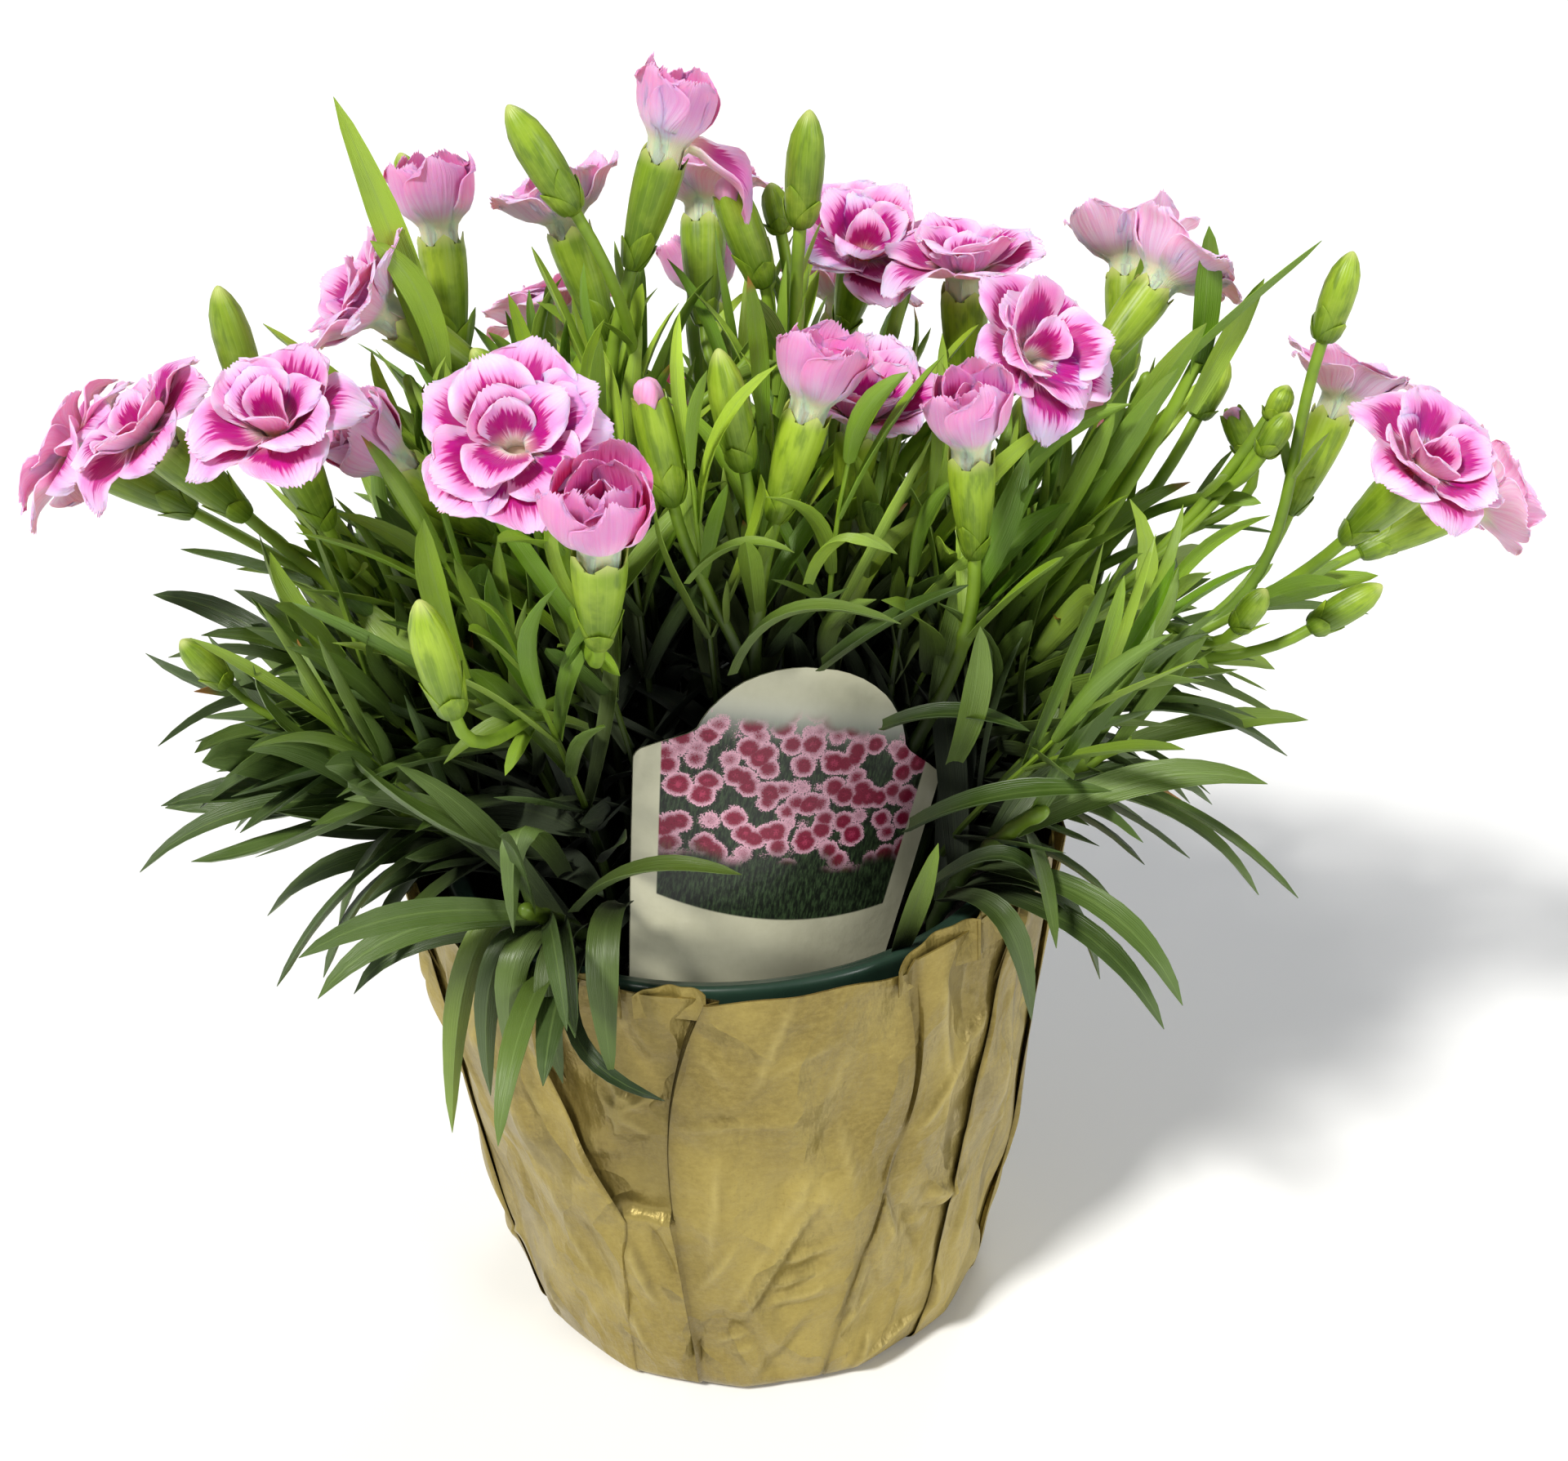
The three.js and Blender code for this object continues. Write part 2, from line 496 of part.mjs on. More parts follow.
// A bloom: petals raised from a throat that stands in the calyx, whose mouth is at the bloom's own origin.
// The throat's upper rings are each turned half a step, so that their downward facets make two whorls of
// petals. A bloom less than half open has its inner petals rolled up in a core.
function bloomGeometry({ open }, seed) {
  const draw = draws(seed);
  const foot = CLEARANCE - CALYX.socket;
  const { radius, rise, core } = THROAT;
  const rings = [[radius - 0.2, foot, 0], [radius, 0.4, 0], [radius + 0.7, rise, 36], [1.7, rise + 1, 0]];
  const centre = (height) => vec(0, 0, height);
  const ringPoints = ([size, height, turn]) =>
    ringRound(centre(height), UP, size).map((point) => point.applyAxisAngle(UP, radians(turn)));
  const rolled = open < 0.5;
  const points = [centre(foot), ...rings.flatMap(ringPoints), centre(rise + (rolled ? core : 1.8))];
  const ringStart = rings.map((_, i) => 1 + i * SIDES);
  const triangles = fan(1, 0, SIDES).map(([a, b, c]) => [b, a, c]);
  triangles.push(...band(ringStart[0], ringStart[1], SIDES));
  triangles.push(...fan(ringStart[3], 1 + 4 * SIDES, SIDES));
  const full = mix(1.12, 1, open);
  const slim = mix(0.62, 1, THREE.MathUtils.smoothstep(open, 0.2, 0.8));
  const droop = mix(-0.4, 0.42, open);
  const whorls = [
    {
      from: [ringStart[1], ringStart[2]], shift: 0, places: [0, 1, 2, 3, 4], spread: mix(22, 56, open),
      size: 1, broad: 1, root: [radius, rise - 0.6], outline: [[0.4, 0.27, 0.3], [0.76, 0.5, 0.7]],
    },
    {
      from: [ringStart[2], ringStart[3]], shift: 1, places: rolled ? [] : INNER_PETALS,
      size: PETAL.innerLength, broad: PETAL.innerWidth, spread: mix(4, 30, open),
      root: [1.6, rise + 0.4], outline: [[0.7, 0.5, 0.3]],
    },
  ];
  for (const { from: [lower, upper], shift, places, spread, size, broad, root, outline } of whorls) {
    for (let k = 0; k < SIDES; k++) {
      const next = (k + 1) % SIDES;
      // The lower corner under the upper ring's side from k to next.
      const under = lower + (shift ? k : next);
      triangles.push(shift ? [lower + k, lower + next, upper + next] : [lower + k, lower + next, upper + k]);
      const facet = [upper + k, under, upper + next];
      if (!places.includes(k)) {
        triangles.push(facet);
        continue;
      }
      const petal = petalRings({
        angle: ((k + (shift ? 0.5 : 1)) * 360) / SIDES, spread: spread + 6 * (draw() - 0.5), droop, root,
        length: PETAL.length * size * full * vary(draw, 0.12), width: PETAL.width * broad * slim,
      }, outline);
      raiseBlade(points, triangles, facet, petal.rings, petal.edge);
    }
  }
  return closedGeometry(points, triangles);
}

// ---- Leaves ----
// The line of a leaf's midrib: it leaves the stem along start and bends towards the ground as it goes.
function midrib(root, start, length, sag) {
  const points = [root.clone()];
  const directions = [start.clone()];
  const step = length / LEAF.steps;
  for (let i = 0; i < LEAF.steps; i++) {
    const direction = directions[i].clone().addScaledVector(UP, (-sag * (i + 1)) / LEAF.steps).normalize();
    points.push(points[i].clone().addScaledVector(direction, step));
    directions.push(direction);
  }
  return { points, directions };
}

const LONG_OUTLINE = [[2.5, 0.84], [6, 1], [9.4, 0.72]]; // step along the midrib, share of the width
const SHORT_OUTLINE = [[3, 0.95], [8, 0.86]];
// A leaf blade's rings, flat above with a keel below, and its pointed tip. grow fattens it.
function bladeRings({ line, across, width }, outline, grow) {
  return outline.map(([step, share]) => {
    const [low, part] = [Math.floor(step), step % 1];
    const point = line.points[low].clone().lerp(line.points[low + 1], part);
    const direction = line.directions[low];
    const side = across.clone().addScaledVector(direction, -across.dot(direction)).normalize();
    const above = direction.clone().cross(side).negate();
    const half = (width * share) / 2 + grow;
    const depth = LEAF.keel * (0.5 + 0.5 * share);
    const rim = point.clone().addScaledVector(above, LEAF.face + grow);
    const keel = point.clone().addScaledVector(above, LEAF.face - depth - grow);
    return [rim.clone().addScaledVector(side, half), keel, rim.clone().addScaledVector(side, -half)];
  });
}

// A leaf blade on its own, from just off the stem to its tip, for trying whether its place is free.
const OFF_STEM = 0.07; // of the way to the blade's first ring
function bladeTrial(leaf, grow) {
  const rings = bladeRings(leaf, leaf.outline, grow);
  const middle = leaf.socket.reduce((sum, corner) => sum.clone().add(corner)).divideScalar(3);
  const root = leaf.socket.map((corner, i) => {
    const spread = corner.clone().sub(middle).setLength(grow);
    return corner.clone().add(spread).lerp(rings[0][i], OFF_STEM);
  });
  const tip = leaf.line.points.at(-1).clone().addScaledVector(leaf.line.directions.at(-1), grow);
  const points = [...root, ...rings.flat(), tip];
  const triangles = [[0, 2, 1]];
  for (let r = 0; r < rings.length; r++) triangles.push(...band(3 * r, 3 * (r + 1), 3));
  triangles.push(...fan(3 * rings.length, points.length - 1, 3));
  return toSolid(closedGeometry(points, triangles));
}

// One way to grow a leaf from a facet of a stem's skin. Each try draws afresh and is a little shorter.
function leafTry(plan, attempt) {
  const draw = draws(plan.seed * 64 + attempt);
  const stem = plan.direction;
  const frame = new THREE.Quaternion().setFromUnitVectors(UP, stem);
  const facingRange = LEAF_RANGE.facing + NEXT_TRY.facing * attempt;
  const facing = ((plan.facet + 0.5) * 360) / SIDES + (draw() - 0.5) * facingRange;
  const outwards = along(facing, 0).applyQuaternion(frame);
  const spread = radians(plan.spread + (draw() - 0.5) * LEAF_RANGE.spread);
  const start = stem.clone().multiplyScalar(Math.cos(spread)).addScaledVector(outwards, Math.sin(spread));
  start.addScaledVector(UP, NEXT_TRY.lift * attempt).normalize();
  const length = plan.length * vary(draw, LEAF_RANGE.size) * (1 - NEXT_TRY.shorter * attempt);
  const sag = plan.sag * vary(draw, LEAF_RANGE.sag);
  const root = plan.centre.clone().addScaledVector(outwards, STEM.tip * 0.8);
  const line = midrib(root, start, length, sag);
  const across = outwards.clone().cross(stem).normalize();
  const width = plan.width * vary(draw, LEAF_RANGE.size);
  return { line, across, width, outline: plan.outline, socket: plan.socket };
}

// ---- Growing the plant ----
// Everything that a leaf has to stay clear of: each entry has a solid, its box and the node it belongs to.
const taken = [];
function take(solid, owner) {
  taken.push({ solid, box: solid.boundingBox(), owner });
  return solid;
}
const boxesMeet = (a, b) => [0, 1, 2].every((k) => a.min[k] <= b.max[k] && b.min[k] <= a.max[k]);
function isClear(solid, counts) {
  const box = solid.boundingBox();
  return !taken.some(
    (entry) => counts(entry.owner) && boxesMeet(box, entry.box) && !solid.intersect(entry.solid).isEmpty(),
  );
}

for (const mesh of [wrap, pot, label]) {
  mesh.updateMatrixWorld(true);
  take(toSolid(mesh.geometry, mesh.matrixWorld), mesh.name);
}
const SOIL_CROWN = 20; // the depth of soil, down from the top of its lumps, that leaves are tried against
const crown = new THREE.CylinderGeometry(POT.topRadius, POT.topRadius, SOIL_CROWN, POT.sides);
crown.rotateX(Math.PI / 2).translate(0, 0, SOIL_TOP + SOIL.bump - SOIL_CROWN / 2);
take(toSolid(crown), "potting_soil");

// The label can be seen from the front, so leaves leave the space before it free.
const VIEW_OF_LABEL = { width: 50, depth: 40, height: 60, centre: [6, -76, 132] };
const viewOfLabel = new THREE.BoxGeometry(VIEW_OF_LABEL.width, VIEW_OF_LABEL.depth, VIEW_OF_LABEL.height);
take(toSolid(viewOfLabel.translate(...VIEW_OF_LABEL.centre)), "view_of_label");

const stems = []; // each stem's skin before its leaves, its blades, and the stalks that join it
const plans = []; // the leaves to try, in the order in which they are tried
const holes = [toSolid(labelGeometry(CLEARANCE), label.matrixWorld)];

const SHOOT_TIP = 2; // the length of the point that ends a leafy shoot
const holeRadius = STEM.radius + CLEARANCE / Math.cos(Math.PI / SIDES);
function holeFor([x, y]) {
  const [foot, top] = [SOIL_TOP - SOCKET_DEPTH - CLEARANCE, SOIL_TOP + 2 * SPROUT];
  const rings = [foot, top].map((z) => ringRound(vec(x, y, z), UP, holeRadius));
  return toSolid(ringed(vec(x, y, foot), rings, vec(x, y, top)));
}

// A stem from its foot in the soil along a path, with opposite pairs of leaves, each pair turned on from
// the last. leaves gives the first and the last pair's place on the path, and the leaves' sizes there.
function growStem(name, [x, y], path, head, leaves) {
  holes.push(holeFor([x, y]));
  const foot = SOIL_TOP - SOCKET_DEPTH;
  const rings = [foot, SOIL_TOP].map((z) => ringRound(vec(x, y, z), UP, STEM.radius));
  const length = path.getLength();
  const ringAt = (t) => {
    rings.push(ringRound(path.getPoint(t), path.getTangent(t), mix(STEM.radius, STEM.tip, t)));
    return rings.length - 1;
  };
  const stem = { name, foot: vec(x, y, foot), rings, blades: [], stalks: [] };
  const seed = stems.push(stem);
  for (let i = 0; i < leaves.pairs; i++) {
    const share = i / (leaves.pairs - 1);
    const t = mix(leaves.from, leaves.to, share);
    const lower = ringAt(t - STEM.nodeHeight / 2 / length);
    ringAt(t + STEM.nodeHeight / 2 / length);
    for (const side of [0, 1]) {
      const facet = (seed + 3 * i + 2 * side) % SIDES;
      plans.push({
        stem, share, facet,
        band: lower,
        socket: [rings[lower + 1][facet], rings[lower][facet], rings[lower + 1][(facet + 1) % SIDES]],
        centre: path.getPoint(t),
        direction: path.getTangent(t),
        seed: seed * 40 + i * 2 + side,
        outline: share > 0.3 && head ? SHORT_OUTLINE : LONG_OUTLINE,
        ...Object.fromEntries(
          Object.entries(leaves.low).map(([key, low]) => [key, mix(low, leaves.high[key], share)]),
        ),
      });
    }
  }
  ringAt(1);
  const bare = path.getPoint(1).addScaledVector(path.getTangent(1), SHOOT_TIP);
  const end = head ? headRings(head) : { rings: [], tip: bare };
  rings.push(...end.rings);
  stem.tip = end.tip;
  take(toSolid(ringed(stem.foot, rings, stem.tip)), name);
  return stem;
}

const STALK_RINGS = [0, 0.3, 0.65, 1]; // where a stalk that forks off has a ring of points
let bloomCount = 0;
for (const [key, { foot, pairs, heads }] of Object.entries(STEMS)) {
  const name = `flower_stem_${key}`;
  const start = vec(...foot, SOIL_TOP + SPROUT);
  const [leader, ...others] = heads;
  const outwards = headFoot(leader).setZ(0).sub(vec(...foot, 0)).normalize();
  const leaving = UP.clone().addScaledVector(outwards, FLOWERING.leaving).normalize();
  const path = archedPath(start, leaving, headFoot(leader), along(leader.turn, leader.rise));
  const stem = growStem(name, foot, path, leader, { pairs, ...FLOWERING });
  for (const head of others) {
    const fork = archedPath(
      path.getPoint(head.fork), path.getTangent(head.fork), headFoot(head), along(head.turn, head.rise),
    );
    const rings = STALK_RINGS.map((t) => ringRound(fork.getPoint(t), fork.getTangent(t), STEM.stalk));
    const end = headRings(head);
    stem.stalks.push(take(toSolid(ringed(fork.getPoint(0), [...rings, ...end.rings], end.tip)), name));
  }
  heads.forEach((head, i) => {
    if (head.bud) return;
    const bloom = addMesh(`bloom_${key}${i + 1}`, bloomGeometry(head, ++bloomCount), MATERIALS.pink);
    bloom.applyMatrix4(headMatrix(head));
    bloom.updateMatrixWorld(true);
    take(toSolid(bloom.geometry, bloom.matrixWorld), bloom.name);
  });
}
for (const [key, { foot, turn, reach, height, pairs, upright }] of Object.entries(SHOOTS)) {
  const habit = upright ? UPRIGHT : SPREADING;
  const start = vec(...foot, SOIL_TOP + SPROUT);
  const end = start.clone().addScaledVector(along(turn, 0), reach).addScaledVector(UP, height);
  const path = archedPath(start, along(turn, habit.leaving), end, along(turn, habit.arriving));
  growStem(`leafy_shoot_${key}`, foot, path, null, { pairs, ...habit });
}

// Leaves are tried from the lowest pairs up, over the whole plant. A leaf keeps the first try that is clear.
plans.sort((a, b) => a.share - b.share);
for (const plan of plans) {
  const own = plan.stem.name;
  for (let attempt = 0; attempt < NEXT_TRY.tries; attempt++) {
    const leaf = leafTry(plan, attempt);
    const trial = bladeTrial(leaf, 0);
    if (!isClear(trial, (owner) => owner === own)) continue;
    if (!isClear(bladeTrial(leaf, CLEARANCE), (owner) => owner !== own)) continue;
    take(trial, own);
    const rings = bladeRings(leaf, leaf.outline, 0);
    plan.stem.blades.push({ band: plan.band, facet: plan.facet, rings, tip: leaf.line.points.at(-1) });
    break;
  }
}
for (const { name, foot, rings, tip, blades, stalks } of stems) {
  const skin = toSolid(stemSkin(foot, rings, tip, blades));
  addMesh(name, toGeometry(union([skin, ...stalks])), MATERIALS.green);
}

// ---- Potting soil: fills the pot, with a lumpy top and a plain hole for each stem and the label ----
function soilGeometry() {
  const wallAt = (height) => {
    const share = height / (POT.height - POT.lipHeight - 1);
    return mix(POT.baseRadius, POT.topRadius, share) - POT.wall - CLEARANCE - SOIL.slack;
  };
  const floor = SOIL_FLOOR - POT_FLOOR;
  const edge = floor + SOIL.depth;
  const rings = [[wallAt(floor) - SOIL.footInset, 0], [wallAt(edge), SOIL.depth - 1]];
  for (let ring = 0; ring < SOIL.rings; ring++) {
    rings.push([(wallAt(edge) - 1) * (1 - ring / SOIL.rings), SOIL.depth]);
  }
  const surface = rings.map(([radius, height], row) =>
    Array.from({ length: SOIL.sides }, (_, i) => {
      const angle = (i / SOIL.sides) * Math.PI * 2;
      const lump = row < 2 ? 0 : SOIL.bump * Math.sin(i * 2.1 + row * 1.7) * Math.sin(row * 2.3 + i * 0.8);
      return vec(radius * Math.cos(angle), radius * Math.sin(angle), height + lump);
    }),
  );
  const block = ringed(vec(0, 0, 0), surface, vec(0, 0, SOIL.depth));
  const soil = toSolid(block.translate(0, 0, SOIL_FLOOR));
  return toGeometry(holes.reduce((rest, hole) => rest.subtract(hole), soil));
}
addMesh("potting_soil", soilGeometry(), MATERIALS.soil);

export default plant;
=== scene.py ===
"""A pot-grown dianthus in flower: the looks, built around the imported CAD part.

The shapes are worked out in millimetres in the part's own frame, with its own formulas, and turned into
metres when a piece is built. Angles about +Z are in degrees from +X towards +Y; the front faces -Y.
"""

import math

import bmesh
import bpy
import numpy as np
from mathutils import Matrix, Vector
from mathutils.kdtree import KDTree


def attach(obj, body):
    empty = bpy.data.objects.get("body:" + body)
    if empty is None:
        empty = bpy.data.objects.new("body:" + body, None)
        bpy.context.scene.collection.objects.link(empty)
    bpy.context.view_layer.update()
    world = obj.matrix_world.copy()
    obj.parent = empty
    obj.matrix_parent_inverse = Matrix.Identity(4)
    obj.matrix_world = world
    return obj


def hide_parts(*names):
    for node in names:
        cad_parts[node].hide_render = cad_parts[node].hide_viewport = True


MM = 0.001

# ---- The part's driving dimensions, in millimetres ----
WRAP = dict(base=48.2, top=62.2, height=102, belly=1.4, heel_height=3.5, heel_inset=3)
POT = dict(base=40.5, top=51.8, height=99, wall=1.1, lip=55.6, lip_height=8)
DRAIN = dict(count=4, radius=3, circle=26)
POT_FLOOR, SOIL_FLOOR, SOIL_TOP = 1.15, 2.6, 90.6
SOCKET_DEPTH, SPROUT = 12, 2.5
LABEL = dict(bow=90, foot=(5.5, -37), turn=22, lean=-8, slant=17)
STEM = dict(radius=1.4, tip=1.15, stalk=1.05)
CALYX_LENGTH, BUD_RADIUS, PETAL_LENGTH, THROAT_RISE = 19, 3.4, 13.2, 3.2
SIDES, LEAF_STEPS, LEAF_TRIES, ARCH = 5, 12, 40, 0.38

# The wrap's panels: the two edges at the top and at the base in degrees from the front towards +X, how far
# each edge stands off the cup, and how far the top lies over the wrap's height.
PANELS = (
    ((-4, 29), (-13, 15), (0.6, 0.9), -0.5),
    ((31, 53), (16, 40), (0.9, 0.2), 1.5),
    ((54, 79), (41, 68), (1.9, 0.5), 2),
    ((80, 103), (69, 97), (2.0, 0.3), 0.5),
    ((104, 127), (98, 121), (2.2, 0.4), 1),
    ((128, 152), (122, 148), (1.8, 0.2), -0.5),
    ((153, 176), (149, 171), (2.1, 0.5), 0.5),
    ((177, 203), (172, 197), (1.9, 0.3), 1),
    ((204, 226), (198, 223), (2.2, 0.6), 0),
    ((227, 250), (224, 246), (1.8, 0.3), 1.5),
    ((251, 268), (247, 268), (0.4, 2.0), 1),
    ((269, 291), (269, 294), (0.3, 1.9), 0.5),
    ((292, 315), (295, 330), (0.4, 2.4), -1),
    ((316, 355), (331, 346), (-0.2, -1), 0),
)

# The flowering stems: foot, pairs of leaves, and heads as (place, turn, rise, kind, size, fork). A bloom's
# size is how far it is open, a bud's is its length. The stem runs to its first head.
STEMS = {
    "a": ((-24, -6), 4, (
        ((-92, -15, 188), -155, 52, "bloom", 1, 0),
        ((-109, 0, 181), 176, 32, "bloom", 0.95, 0.6),
        ((-67, -34, 194), -110, 64, "bloom", 1, 0.62),
        ((-80, -10, 214), -120, 80, "bud", 22, 0.5),
    )),
    "b": ((-13, -11), 3, (
        ((-52, -13, 181), -165, 46, "bloom", 0.45, 0),
        ((-39, -9, 201), -163, 60, "bud", 12, 0.6),
    )),
    "c": ((-16, 4), 4, (
        ((-46, 16, 213), 107, 81, "bloom", 0.25, 0),
        ((-52, 1, 203), -170, 40, "bloom", 0.8, 0.62),
        ((-54, 32, 226), 165, 76, "bud", 12, 0.6),
    )),
    "d": ((-22, -19), 4, (
        ((-27, -57, 199), -94, 38, "bloom", 1, 0),
        ((-15, -70, 187), -75, 68, "bloom", 0.2, 0.6),
        ((-42, -72, 182), -115, 76, "bud", 22, 0.4),
    )),
    "e": ((-8, 9), 4, (
        ((-23, 17, 213), 150, 72, "bloom", 0.9, 0),
        ((-29, -9, 241), 180, 62, "bud", 20, 0.66),
    )),
    "f": ((-2, -3), 4, (
        ((-5, 0, 229), 0, 70, "bloom", 0.3, 0),
        ((5, 4, 225), -175, 72, "opening", 20, 0.6),
    )),
    "g": ((5, 8), 4, (
        ((20, 2, 236), -34, 82, "bud", 20, 0),
        ((13, 12, 222), 160, 80, "bud", 9, 0.75),
        ((0, 42, 208), 85, 66, "bloom", 0.9, 0.62),
    )),
    "h": ((9, -8), 4, (
        ((26.5, -3.5, 181), -70, 70, "bloom", 0.75, 0),
        ((29, 30, 202), -75, 54, "bloom", 0.9, 0.5),
    )),
    "j": ((2, -13), 4, (
        ((17, -21, 190), 0, 72, "bloom", 0.25, 0),
        ((3, -22, 203), -150, 80, "bud", 22, 0.6),
        ((-9, -27, 200), -140, 80, "opening", 23, 0.5),
    )),
    "l": ((21, -8), 4, (((44, -28, 184), -105, 80, "bloom", 0.3, 0),)),
    "m": ((18, -2), 4, (
        ((54, -8, 193.5), -46, 36, "bloom", 1, 0),
        ((47, 14, 200), -90, 86, "bloom", 0.95, 0.62),
    )),
    "n": ((19, 14), 4, (
        ((79, 6, 201), 25, 45, "bloom", 1, 0),
        ((79, 30, 197), 80, 64, "bloom", 0.7, 0.6),
    )),
    "o": ((27, 3), 4, (
        ((95, 14, 186), 10, 64, "bud", 12, 0),
        ((102, -6, 182), -10, 62, "bud", 9, 0.75),
        ((98, -14, 152), -27, 60, "bud", 10, 0.6),
        ((95, 9, 178), 180, 66, "opening", 10, 0.62),
    )),
    "p": ((27, -10), 4, (
        ((120, -20, 174), -52, 50, "bloom", 1, 0),
        ((137, 8, 157), 12, 20, "bloom", 0.95, 0.64),
        ((116, 18, 172), 30, 62, "bloom", 0.75, 0.6),
        ((112, -2, 209), 10, 74, "bud", 16, 0.68),
        ((120, -10, 150), -8, 36, "bud", 15, 0.5),
    )),
    "t": ((-13, 19), 4, (((-32, 70, 178), 120, 62, "bloom", 0.9, 0),)),
    "u": ((2, 21), 4, (
        ((0, 62, 186), 110, 70, "bloom", 0.3, 0),
        ((26, 64, 181), 60, 64, "bloom", 0.9, 0.62),
    )),
    "w": ((-4, 32), 4, (
        ((-12, 92, 150), 98, 40, "bloom", 1, 0),
        ((-44, 90, 148), 118, 55, "bud", 20, 0.5),
    )),
    "x": ((16, 26), 4, (((66, 66, 160), 50, 44, "bloom", 1, 0),)),
}

# The leafy shoots: foot, turn, reach, height, pairs of leaves and whether the shoot stands upright.
SHOOTS = {
    "right": ((38, 5), 8, 44, 42, 7, False),
    "back_right": ((27, 32), 52, 36, 34, 6, False),
    "back_left": ((-18, 38), 118, 34, 34, 6, False),
    "left_rear": ((-34, 21), 152, 40, 36, 6, False),
    "left": ((-39, 1), 180, 38, 46, 7, False),
    "left_low": ((-37, -16), 203, 30, 34, 7, False),
    "front_left": ((-24, -35), 243, 22, 24, 6, False),
    "front_right": ((37, -27), 318, 24, 32, 6, False),
    "right_low": ((42, -11), 344, 32, 33, 7, False),
    "tall_left": ((-21, 0), 180, 31, 100, 6, True),
    "tall_right": ((32, -2), 4, 46, 94, 6, True),
}

# Habits: how a stem leaves the soil and arrives, where its first and last pairs sit, and the leaves'
# spread, length, width and sag there.
FLOWERING = dict(leaving=0.35, start=0.12, stop=0.8, low=(50, 50, 6.2, 0.16), high=(32, 27, 4.4, 0.05))
SPREADING = dict(leaving=66, arriving=40, start=0.14, stop=0.96, low=(58, 48, 6.2, 0.2), high=(34, 40, 5.2, 0.12))
UPRIGHT = dict(leaving=80, arriving=72, start=0.3, stop=0.97, low=(36, 40, 5.6, 0.1), high=(15, 42, 5.2, 0.02))

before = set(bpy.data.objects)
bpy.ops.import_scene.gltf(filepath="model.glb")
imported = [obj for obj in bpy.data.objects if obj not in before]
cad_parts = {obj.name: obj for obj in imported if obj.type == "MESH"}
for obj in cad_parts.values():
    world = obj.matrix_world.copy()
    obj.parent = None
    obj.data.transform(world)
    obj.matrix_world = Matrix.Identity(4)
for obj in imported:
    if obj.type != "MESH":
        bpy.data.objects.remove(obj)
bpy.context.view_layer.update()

# ---- Small helpers ----
UP = np.array((0.0, 0.0, 1.0))


def vec(*xyz):
    return np.array(xyz, float)


def unit(v):
    return v / np.linalg.norm(v)


def along(turn, rise=0.0):
    a, e = math.radians(turn), math.radians(rise)
    return vec(math.cos(e) * math.cos(a), math.cos(e) * math.sin(a), math.sin(e))


def mix(a, b, t):
    return a + (b - a) * t


def smooth(low, high, x):
    t = np.clip((np.asarray(x, float) - low) / (high - low), 0, 1)
    return t * t * (3 - 2 * t)


def draws(seed):
    """A repeatable stream of numbers from 0 to 1, the same as in the part's source."""
    state = (seed * 7919 + 104729) % 2147483647

    def draw():
        nonlocal state
        state = state * 48271 % 2147483647
        return state / 2147483647

    draw(), draw()
    return draw


def vary(draw, extent):
    return 1 + extent * (draw() - 0.5)


def turned_to(direction):
    """The matrix that turns +Z to a direction by the shortest way."""
    x, y, z = direction
    a, b, w = np.array((-y, x, 1 + z)) / math.sqrt(x * x + y * y + (1 + z) ** 2)
    return np.array((
        (1 - 2 * b * b, 2 * a * b, 2 * b * w),
        (2 * a * b, 1 - 2 * a * a, -2 * a * w),
        (-2 * b * w, 2 * a * w, 1 - 2 * (a * a + b * b)),
    ))


class Path:
    """A smooth path from start to end that leaves along one direction and arrives along the other."""

    def __init__(self, start, leaving, end, arriving):
        reach = ARCH * np.linalg.norm(end - start)
        self.corners = start, start + leaving * reach, end - arriving * reach, end

    def point(self, t):
        a, b, c, d = self.corners
        k = 1 - t
        return k**3 * a + 3 * k * k * t * b + 3 * k * t * t * c + t**3 * d

    def tangent(self, t):
        return unit(self.point(min(t + 1e-4, 1)) - self.point(max(t - 1e-4, 0)))

    def line(self, shares):
        """The points and the directions at shares of the way."""
        return [self.point(t) for t in shares], [self.tangent(t) for t in shares]

    def length(self):
        points = np.array([self.point(i / 200) for i in range(201)])
        return np.linalg.norm(np.diff(points, axis=0), axis=1).sum()


def circle(count, start=0.0):
    angles = (np.arange(count) + start) / count * 2 * math.pi
    return np.cos(angles), np.sin(angles)


def around(count):
    """The same circle's points, as shares of the way round."""
    return np.arange(count) / count


def ring(x, y, radius, height):
    """A ring of points from a circle's x and y; radius and height are one number, or one for each point."""
    return np.stack((radius * x, radius * y, height + 0 * x), -1)


def turned_form(x, y, profile):
    """Rings from a profile of radii and heights."""
    return np.array([ring(x, y, *row) for row in profile])


# ---- Meshes ----
PLAIN_TINT = (0.5, 0.5, 0)


